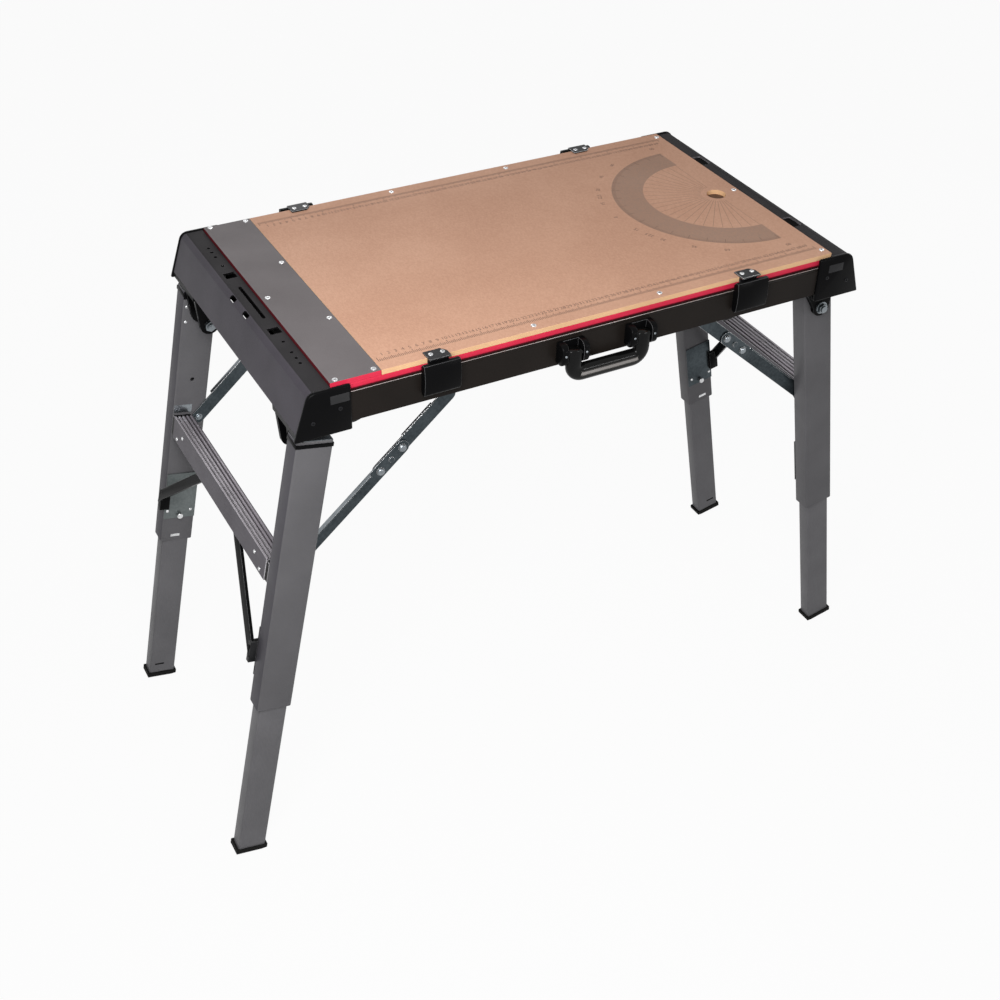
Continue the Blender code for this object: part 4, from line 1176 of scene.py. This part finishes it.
@dataclass
class CarryHandle:
    """Swinging grip and its two brackets on the front rail."""

    fasteners: Fasteners
    middle: float = 0.005
    arm: float = 0.0545
    cheek: float = 0.0161
    rivet_height: float = 0.7705
    rivet_radius: float = 0.0018
    bracket_face: float = -0.2588
    arm_half: Pair = (0.0115, 0.0080)
    grip_half: Pair = (0.01225, 0.0092)
    end_round: float = 0.0016
    end_scale: float = 0.86
    bend: float = 0.014
    bend_steps: int = 8
    facets: int = 48
    fullness: float = 0.82
    # Reach and angle bands of the painted highlight along the grip's front.
    rub_past: float = 0.005
    rubbed: Pair = (-2.0, 6.0)
    faded: Pair = (-7.0, 12.0)

    def build(self) -> None:
        """Dress the grip and the brackets with their rivets."""
        self.bend_grip()
        for side in Side:
            end = side.tag
            Workshop.carry_over(f"handle_bracket_{end}", "table", "black_plastic", (BLACK_PLASTIC, BLACK_EDGE),
                                FINE_EDGE, 1, angle=COARSE_ANGLE)
            across = [self.middle + side.value * self.arm + cheek for cheek in (-self.cheek, self.cheek)]
            spots = [((x, self.bracket_face, self.rivet_height), Row.FRONT.way()) for x in across]
            self.fasteners.set(f"bracket_rivets_{end}", Head.RIVET, self.rivet_radius, spots, "table",
                               "zinc_steel", WORN_ZINC)

    def stations(self, reach: float, top: float, grip: float) -> list[tuple[float, float, float, float, float]]:
        """Rings along the bent line of arm, grip and arm.

        Args:
            reach: Distance of an arm from the middle.
            top: Height of the arms' ends.
            grip: Height of the grip's middle.

        Returns:
            Place across, height, turn of the outward side, share of grip and scale of each ring.
        """
        first = [(-reach, top, math.pi, 0.0, self.end_scale), (-reach, top - self.end_round, math.pi, 0.0, 1.0)]
        for step in range(self.bend_steps + 1):
            turn = math.pi * (1 + 0.5 * step / self.bend_steps)
            across = -reach + self.bend + self.bend * math.cos(turn)
            height = grip + self.bend + self.bend * math.sin(turn)
            first.append((across, height, turn, step / self.bend_steps, 1.0))
        second = [(-across, height, 3 * math.pi - turn, share, scale)
                  for across, height, turn, share, scale in reversed(first)]
        return first + second

    def bend_grip(self) -> None:
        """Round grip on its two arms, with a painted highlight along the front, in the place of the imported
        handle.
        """
        low, high = (Vector(corner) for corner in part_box("carry_handle"))
        middle = (low + high) / 2
        reach = (high.x - low.x) / 2 - self.arm_half[0]
        grip = low.z + self.grip_half[0]
        shape = bmesh.new()
        rings = []
        for across, height, turn, share, scale in self.stations(reach, high.z, grip):
            wide, deep = (scale * (arm + share * (held - arm)) for arm, held in zip(self.arm_half, self.grip_half))
            rear = middle.y + share * (self.grip_half[1] - self.arm_half[1])
            ring = []
            for angle in ring_turns(self.facets):
                out, back = (math.copysign(abs(part) ** self.fullness, part)
                             for part in (math.cos(angle), math.sin(angle)))
                ring.append(shape.verts.new((middle.x + across + wide * out * math.cos(turn), rear + deep * back,
                                             height + wide * out * math.sin(turn))))
            rings.append(ring)
        Workshop.skin(shape, rings)
        shape.faces.new(rings[0])
        shape.faces.new(rings[-1][::-1])
        bmesh.ops.recalc_face_normals(shape, faces=shape.faces)
        # Faces in the painted highlight's band get 2, those in its fainter rim 1.
        for face in shape.faces:
            spot = face.calc_center_median() - Vector((middle.x, 0.0, grip))
            if abs(spot.x) < reach - self.bend + self.rub_past and abs(spot.z) < self.bend / 2:
                rise = math.degrees(math.atan2(face.normal.z, -face.normal.y))
                face.material_index = sum(first < rise < last for first, last in (self.rubbed, self.faded))
        piece = Workshop.piece("carry_handle_dressed", shape, (GLOSS_BLACK, GRIP_HIGHLIGHT_FADE, GRIP_HIGHLIGHT), "carry_handle",
                               "black_plastic", sharp=COARSE_ANGLE)
        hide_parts("carry_handle")


@dataclass(frozen=True)
class SideFlat:
    """Thin piece on a leg's inner face."""

    name: str
    across: Pair
    along: Pair
    thick: float
    slot: str
    finish: Finish
    on_lower: bool = False


@dataclass
class Legs:
    """Upper and lower tubes, feet, buttons and the small hardware of one pair of legs."""

    fasteners: Fasteners
    side: Side
    outer: float
    pivot: Pair = (0.424, 0.693)
    splay: float = math.radians(11.2)
    width: float = 0.052
    depth: float = 0.0305
    top: float = 0.0330
    plug_gap: float = 0.0015
    plug_inset: float = 0.0012
    plug_height: Pair = (-0.004, 0.0008)
    collar_wall: float = 0.0006
    collar_sink: float = 0.0002
    collar_height: Pair = (-0.0095, -0.0035)
    cheek_inset: float = 0.001
    tab_depth: Pair = (-0.00015, 0.0002)
    tab_width: float = 0.0200
    tab_past: Pair = (0.0035, 0.0030)
    tab_edge: float = 0.0001
    flat_sink: float = 0.0001
    flat_round: float = 0.4
    lower_step: float = 0.0032
    flats: tuple[SideFlat, ...] = (
        SideFlat("bar_end_plate", (-0.0245, 0.0035), (-0.1732, -0.1600), 0.0002, "zinc_steel", WORN_ZINC),
        SideFlat("spring_clip", (-0.0105, 0.0045), (-0.4070, -0.4022), 0.0006, "zinc_steel", BRIGHT_ZINC_AND_HIGHLIGHT),
        # The tube slot is a dark flat of painted shade.
        SideFlat("tube_slot", (-0.0135, 0.0020), (-0.6785, -0.6755), 0.0001, "inner_tube_paint", BLACK_INSIDE,
                 True))
    top_rivets: tuple[Pair, ...] = ((0.0075, -0.0199), (-0.0172, -0.0197))
    plate_rivets: tuple[Pair, ...] = ((-0.3555, -0.0200), (-0.3560, 0.0180))
    plate_thick: float = 0.0018
    leg_rivet_radius: float = 0.0026
    bar_rivets: tuple[Pair, ...] = ((0.0180, -0.2040), (0.0397, -0.1900))
    bar_rivet_radius: float = 0.0030

    @property
    def body(self) -> str:
        """Body of the pair."""
        return f"{self.side.tag}_legs"

    @property
    def inner(self) -> float:
        """Distance of the legs' inner faces from the table's middle line."""
        return self.outer - self.depth

    def frame(self) -> Matrix:
        """Place of the leg frame: x across the tube, z along it, the pivot at its origin."""
        place = Matrix.Translation((self.side.value * self.pivot[0], 0, self.pivot[1]))
        return place @ Matrix.Rotation(-self.side.value * self.splay, 4, "Y")

    def spot(self, offset: float, y: float, along: float) -> Point:
        """World point from an offset towards the table's middle, a depth and a station along the leg."""
        return tuple(self.frame() @ Vector((-self.side.value * offset, y, along)))

    def build(self) -> None:
        """Build and dress both legs of the pair."""
        for row in Row:
            self.dress_tubes(row)
            self.plug_top(row)
            if self.side is Side.LEFT:
                self.wrap_collar(row)
            self.side_fittings(row)
        self.set_rivets()

    def dress_tubes(self, row: Row) -> None:
        """Tubes, foot and button of one leg.

        Args:
            row: Long side of the table.
        """
        tag = tag_of(self.side, row)
        out = self.frame().to_3x3() @ Vector((self.side.value, 0, 0))

        def tube_face(middle: Vector, normal: Vector) -> int:
            """Finish of one upper tube face: 2, painted shade, on the narrow side that looks away from the table.
            """
            return 2 if normal.dot(out) > NEARLY else 0
        Workshop.carry_over(f"upper_leg_{tag}", self.body, "leg_paint", (LEG_PAINT, LEG_EDGE, LEG_SIDE_SHADE),
                            FINE_EDGE, 1, tube_face, angle=TUBE_ANGLE)
        Workshop.carry_over(f"lower_leg_{tag}", f"lower_leg_{tag}", "inner_tube_paint", (TUBE_PAINT, LEG_EDGE),
                            SLIM_EDGE, 1, angle=TUBE_ANGLE)
        Workshop.carry_over(f"foot_{tag}", f"lower_leg_{tag}", "foot_rubber", (RUBBER,), FOOT_EDGE,
                            angle=COARSE_ANGLE)
        Workshop.carry_over(f"release_button_{tag}", f"release_button_{tag}", "zinc_steel", (BRIGHT_ZINC_AND_HIGHLIGHT,), 0.0)

    def plug_top(self, row: Row) -> None:
        """Plug in the upper end of a tube.

        Args:
            row: Long side of the table.
        """
        tag = tag_of(self.side, row)
        half = self.width / 2 - self.plug_gap
        near, far = span(row.value, self.inner + self.plug_inset, self.outer - self.plug_inset)
        low, high = (self.top + part for part in self.plug_height)
        shape = bmesh.new()
        Workshop.block(shape, (-half, near, low), (half, far, high), turn=self.frame())
        Workshop.piece(f"leg_plug_{tag}", shape, (WORN_ZINC,), self.body, "zinc_steel")

    def wrap_collar(self, row: Row) -> None:
        """Black collar round the upper end of a tube, with the tab on its inner face.

        Args:
            row: Long side of the table.
        """
        tag = tag_of(self.side, row)
        half, wall, sink = self.width / 2, self.collar_wall, self.collar_sink
        low, high = (self.top + part for part in self.collar_height)
        shape = bmesh.new()

        def band(across: Sequence[float], depth: Sequence[float], height: Sequence[float], edge: float) -> None:
            """Add one flat of the collar from its three spans."""
            Workshop.block(shape, *zip(across, depth, height), edge, self.frame())
        front = span(row.value, self.outer - sink, self.outer + wall)
        band((-half - wall, half + wall), front, (low, high), FINE_EDGE)
        cheek = span(row.value, self.inner + self.cheek_inset, self.outer)
        for way in (-1, 1):
            band(span(way, half - sink, half + wall), cheek, (low, high), FINE_EDGE)
        band((-half, -half + self.tab_width), span(row.value, *(self.inner + part for part in self.tab_depth)),
             (low - self.tab_past[0], high + self.tab_past[1]), self.tab_edge)
        Workshop.piece(f"leg_collar_{tag}", shape, (BLACK_PLASTIC,), self.body, "black_plastic")

    def side_fittings(self, row: Row) -> None:
        """Bar end plate and spring clip on a tube's inner face, and the lower tube's slot, a dark flat painted as
        the shade inside it.

        Args:
            row: Long side of the table.
        """
        tag = tag_of(self.side, row)
        for flat in self.flats:
            face = self.inner + (self.lower_step if flat.on_lower else 0.0)
            across = span(-self.side.value, *flat.across)
            depth = span(row.value, face - flat.thick, face + self.flat_sink)
            shape = bmesh.new()
            Workshop.block(shape, *zip(across, depth, flat.along), flat.thick * self.flat_round, self.frame())
            body = f"lower_leg_{tag}" if flat.on_lower else self.body
            Workshop.piece(f"{flat.name}_{tag}", shape, (flat.finish,), body, flat.slot)

    def set_rivets(self) -> None:
        """Rivets at the step bar's ends and on the legs' inner faces."""
        name = self.side.tag
        out = tuple(self.frame().to_3x3() @ Vector((self.side.value, 0, 0)))
        spots = []
        for row in Row:
            for rivets, raised in ((self.top_rivets, 0.0), (self.plate_rivets, self.plate_thick)):
                depth = row.value * (self.inner - raised)
                spots += [(self.spot(offset, depth, along), row.way(-1)) for along, offset in rivets]
        self.fasteners.set(f"leg_rivets_{name}", Head.RIVET, self.leg_rivet_radius, spots, self.body, "zinc_steel")
        spots = []
        for row in Row:
            for reach, along in self.bar_rivets:
                depth = row.value * (self.inner - BAR_GAP - reach)
                spots.append((self.spot(-self.width / 2, depth, along), out))
        self.fasteners.set(f"bar_rivets_{name}", Head.RIVET, self.bar_rivet_radius, spots, self.body, "zinc_steel")


@dataclass
class StepBar:
    """Ribbed aluminium bar of one pair of legs and the bent brace under it."""

    side: Side
    place: Matrix
    bar_end: float
    leg_face: float
    end_play: float = 0.0001
    rib_top: float = -0.1741
    ribbed: Pair = (-0.0255, 0.0015)
    rib_width: float = 0.0030
    rib_height: float = 0.0020
    rib_sink: float = 0.0003
    top_depth: float = 0.0025
    groove_depth: float = 0.0019
    ridge_depth: float = 0.0005
    more_ribs: tuple[float, ...] = (-0.0080, -0.0020)
    plate_reach: float = 0.0020

    def bar_face(self, middle: Vector, normal: Vector) -> int:
        """Finish of one bar face.

        Args:
            middle: Middle of the face.
            normal: Normal of the face.

        Returns:
            0 side, painted darker than the top as shade, 2 end block, 3 top, 4 groove.
        """
        if abs(middle.y) > self.bar_end + self.end_play:
            return 2
        spot = self.place.inverted() @ middle
        upright = (self.place.to_3x3().inverted() @ normal).z > MAINLY
        if spot.z <= self.rib_top - (self.top_depth if upright else self.groove_depth):
            return 0
        offset = -self.side.value * spot.x
        if self.ribbed[0] < offset < self.ribbed[1] and spot.z < self.rib_top - self.ridge_depth:
            return 4
        return 3 if upright else 0

    def build(self) -> None:
        """Build and dress the bar and its brace."""
        name = self.side.tag

        def brace_face(middle: Vector, normal: Vector) -> int:
            """Finish of one brace face: 2 or 3 on the plates that lie on the rear and front leg."""
            return 0 if abs(middle.y) < self.leg_face - self.plate_reach else 2 if middle.y > 0 else 3
        Workshop.carry_over(f"{name}_step_bar", f"{name}_legs", "bar_aluminium",
                            (BAR_SIDE_SHADE, BAR_EDGE, BLACK_PLASTIC, BAR_TOP, BAR_GROOVE), FINE_EDGE, 1, self.bar_face)
        plate = PLATE_ZINC if self.side is Side.LEFT else ZINC
        Workshop.carry_over(f"{name}_bar_brace", f"{name}_legs", "rail_dark_paint",
                            (BLACK_PLASTIC, BLACK_EDGE, plate, KEEPER_DARK), BROAD_EDGE, 1, brace_face,
                            merge=False)
        shape = bmesh.new()
        foot = self.rib_top - self.rib_height - self.rib_sink
        for start in self.more_ribs:
            left, right = span(-self.side.value, start, start + self.rib_width)
            Workshop.block(shape, (left, -self.bar_end, foot), (right, self.bar_end, self.rib_top), SLIM_EDGE,
                           turn=self.place)
        Workshop.piece(f"{name}_bar_ribs", shape, (BAR_TOP,), f"{name}_legs", "bar_aluminium")


@dataclass
class Stays:
    """Two-link folding stays of one pair of legs."""

    fasteners: Fasteners
    side: Side
    leg_face: float
    low: Pair = (0.44417, 0.51136)
    high: Pair = (0.2105, 0.7175)
    lower_length: float = 0.17213
    lap: float = 0.044
    sheet: float = 0.0022
    bolt_radius: float = 0.0056
    foot_bolt_radius: float = 0.0058

    def spot(self, distance: float, depth: float) -> Point:
        """Place on the stay's line at a distance from its lower pivot and at a depth."""
        reach = Vector((self.high[0] - self.low[0], self.high[1] - self.low[1]))
        point = Vector(self.low) + reach.normalized() * distance
        return self.side.value * point.x, depth, point.y

    def link_face(self, middle: Vector, normal: Vector) -> int:
        """Finish of one link face: 2 on the flange that looks up, painted dark as shade on the upper link."""
        up = Vector((self.side.value * (self.high[1] - self.low[1]), 0.0, self.low[0] - self.high[0]))
        return 2 if normal.dot(up.normalized()) > NEARLY else 0

    def build(self) -> None:
        """Build and dress the links with their bolts."""
        for row in Row:
            tag = tag_of(self.side, row)
            # The upper link's up-facing flange is painted dark as shade.
            for link, flange in (("lower_stay", WORN_ZINC), ("upper_stay", KEEPER_DARK)):
                Workshop.carry_over(f"{link}_{tag}", f"{link}_{tag}", "zinc_steel", (ZINC, BRIGHT_ZINC_AND_HIGHLIGHT, flange),
                                    BROAD_EDGE, 1, self.link_face, angle=TUBE_ANGLE)
            heads = row.value * (self.leg_face - SEAT_GAP + self.sheet)
            spots = [(self.spot(self.lower_length + place, heads), row.way()) for place in (0.0, self.lap)]
            self.fasteners.set(f"stay_bolts_{tag}", Head.RIVET, self.bolt_radius, spots, f"lower_stay_{tag}",
                               "zinc_steel", WORN_ZINC)
            foot = row.value * (self.leg_face - SEAT_GAP - self.sheet)
            spots = [(self.spot(0.0, foot), row.way(-1))]
            self.fasteners.set(f"stay_foot_bolt_{tag}", Head.BOLT, self.foot_bolt_radius, spots,
                               f"lower_stay_{tag}", "zinc_steel", WORN_ZINC)


@dataclass
class Casters:
    """Swivel forks and wheels under the cross plates."""

    axle: Pair = (0.317, 0.6835)
    axle_radius: float = 0.0042
    rim: float = 0.0225

    def wheel_face(self, middle: Vector, normal: Vector) -> int:
        """Finish of one wheel face: 0 tyre, 1 hub, 2 axle."""
        reach = math.hypot(abs(middle.x) - self.axle[0], middle.z - self.axle[1])
        return 2 if reach < self.axle_radius else 1 if reach < self.rim else 0

    def build(self) -> None:
        """Dress the forks, tyres, hubs and axles."""
        for side, row, tag in corners():
            Workshop.carry_over(f"caster_fork_{tag}", f"caster_fork_{tag}", "zinc_steel", (ZINC, BRIGHT_ZINC_AND_HIGHLIGHT),
                                SLIM_EDGE, 1, angle=COARSE_ANGLE)
            Workshop.carry_over(f"caster_wheel_{tag}", f"caster_wheel_{tag}", "caster_tyre",
                                (TYRE, PAD_GREY, ZINC), SLIM_EDGE, choose=self.wheel_face, angle=COARSE_ANGLE)


@dataclass(frozen=True)
class SoftBox:
    """Square area light that points at the table."""

    name: str
    at: Point
    size: float
    power: float
    target: Point = (0.0, 0.0, 0.55)

    def hang(self) -> None:
        """Hang the light in the scene."""
        lamp = bpy.data.lights.new(self.name, "AREA")
        lamp.size = self.size
        lamp.energy = self.power
        aim = (Vector(self.target) - Vector(self.at)).to_track_quat("-Z", "Y")
        show(self.name, lamp).matrix_world = Matrix.Translation(self.at) @ aim.to_matrix().to_4x4()


@dataclass
class Studio:
    """Camera, lights, world and floor."""

    eye: Point = (-0.975596, -1.695850, 1.822518)
    right: Point = (0.878978, -0.476187, 0.025384)
    down: Point = (-0.271093, -0.542776, -0.794923)
    forward: Point = (0.392310, 0.691838, -0.606179)
    lens: float = 53.62
    sensor: float = 36.0
    nearest: float = 0.05
    ambient: float = 0.15
    backdrop: Colour = (0.97, 0.97, 0.97)
    floor_size: float = 30.0
    floor_glow: float = 0.95
    lights: tuple[SoftBox, ...] = (
        SoftBox("key_box", (-0.8, -1.1, 1.65), 0.8, 31.5),
        SoftBox("right_strip", (0.95, -1.75, 1.05), 0.2, 3.0),
        SoftBox("rear_fill", (0.3, 1.7, 1.5), 1.0, 4.0),
        SoftBox("right_fill", (2.1, 0.7, 1.2), 1.0, 5.0))

    def build(self) -> None:
        """Set up camera, light and floor."""
        self.set_camera()
        self.set_world()
        self.lay_floor()
        for light in self.lights:
            light.hang()

    def set_camera(self) -> None:
        """Camera at the photograph's view."""
        lens = bpy.data.cameras.new("view_camera")
        lens.lens = self.lens
        lens.sensor_width = self.sensor
        lens.clip_start = self.nearest
        camera = show("view_camera", lens)
        axes = Matrix((self.right, [-part for part in self.down], [-part for part in self.forward])).transposed()
        camera.matrix_world = Matrix.Translation(self.eye) @ axes.to_4x4()
        bpy.context.scene.camera = camera

    def set_world(self) -> None:
        """World that is white to the eye and in reflections, and a plain soft fill otherwise."""
        scene = bpy.context.scene
        scene.view_settings.view_transform = "Standard"
        world = bpy.data.worlds.new("studio_world")
        world.use_nodes = True
        layout = NodeLayout(world.node_tree)
        layout.tree.nodes.clear()
        fill = layout.node("ShaderNodeBackground", Color=(1.0, 1.0, 1.0), Strength=self.ambient)
        white = layout.node("ShaderNodeBackground", Color=self.backdrop)
        mix = layout.node("ShaderNodeMixShader", self.seen(layout), fill.outputs[0], white.outputs[0])
        layout.node("ShaderNodeOutputWorld", Surface=mix.outputs[0])
        scene.world = world

    @staticmethod
    def seen(layout: NodeLayout) -> Socket:
        """Whether a ray comes from the eye, a reflection or a clear piece.

        Args:
            layout: Node layout to add to.

        Returns:
            1 for such a ray, else 0.
        """
        path = layout.node("ShaderNodeLightPath")
        total = path.outputs["Is Camera Ray"]
        for name in ("Is Glossy Ray", "Is Transmission Ray"):
            total = layout.sum("MAXIMUM", total, path.outputs[name])
        return total

    def lay_floor(self) -> None:
        """Pale floor that is near white to the eye and keeps the table's shadow."""
        shape = bmesh.new()
        bmesh.ops.create_grid(shape, x_segments=2, y_segments=2, size=self.floor_size)
        mesh = bpy.data.meshes.new("floor")
        shape.to_mesh(mesh)
        shape.free()
        material = FLOOR_WHITE.material()
        layout = NodeLayout(material.node_tree)
        surface = layout.tree.nodes["Principled BSDF"]
        glow = layout.node("ShaderNodeEmission")
        share = layout.sum("MULTIPLY", self.seen(layout), self.floor_glow)
        mix = layout.node("ShaderNodeMixShader", share, surface.outputs[0], glow.outputs[0])
        layout.feed(layout.tree.nodes["Material Output"].inputs["Surface"], mix.outputs[0])
        mesh.materials.append(material)
        floor = show("floor", mesh)


def main() -> None:
    """Build every sub-assembly in order."""
    logging.basicConfig(level=logging.INFO, format="%(message)s")
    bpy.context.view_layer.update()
    fasteners = Fasteners()
    Studio().build()
    Worktop(fasteners).build()
    TableFrame(fasteners).build()
    Latches(fasteners).build()
    CarryHandle(fasteners).build()
    for side, outer in LEG_FACES.items():
        legs = Legs(fasteners, side, outer)
        legs.build()
        StepBar(side, legs.frame(), legs.inner - BAR_GAP, legs.inner - SEAT_GAP).build()
        Stays(fasteners, side, legs.inner).build()
    Casters().build()


if __name__ == "__main__":
    main()
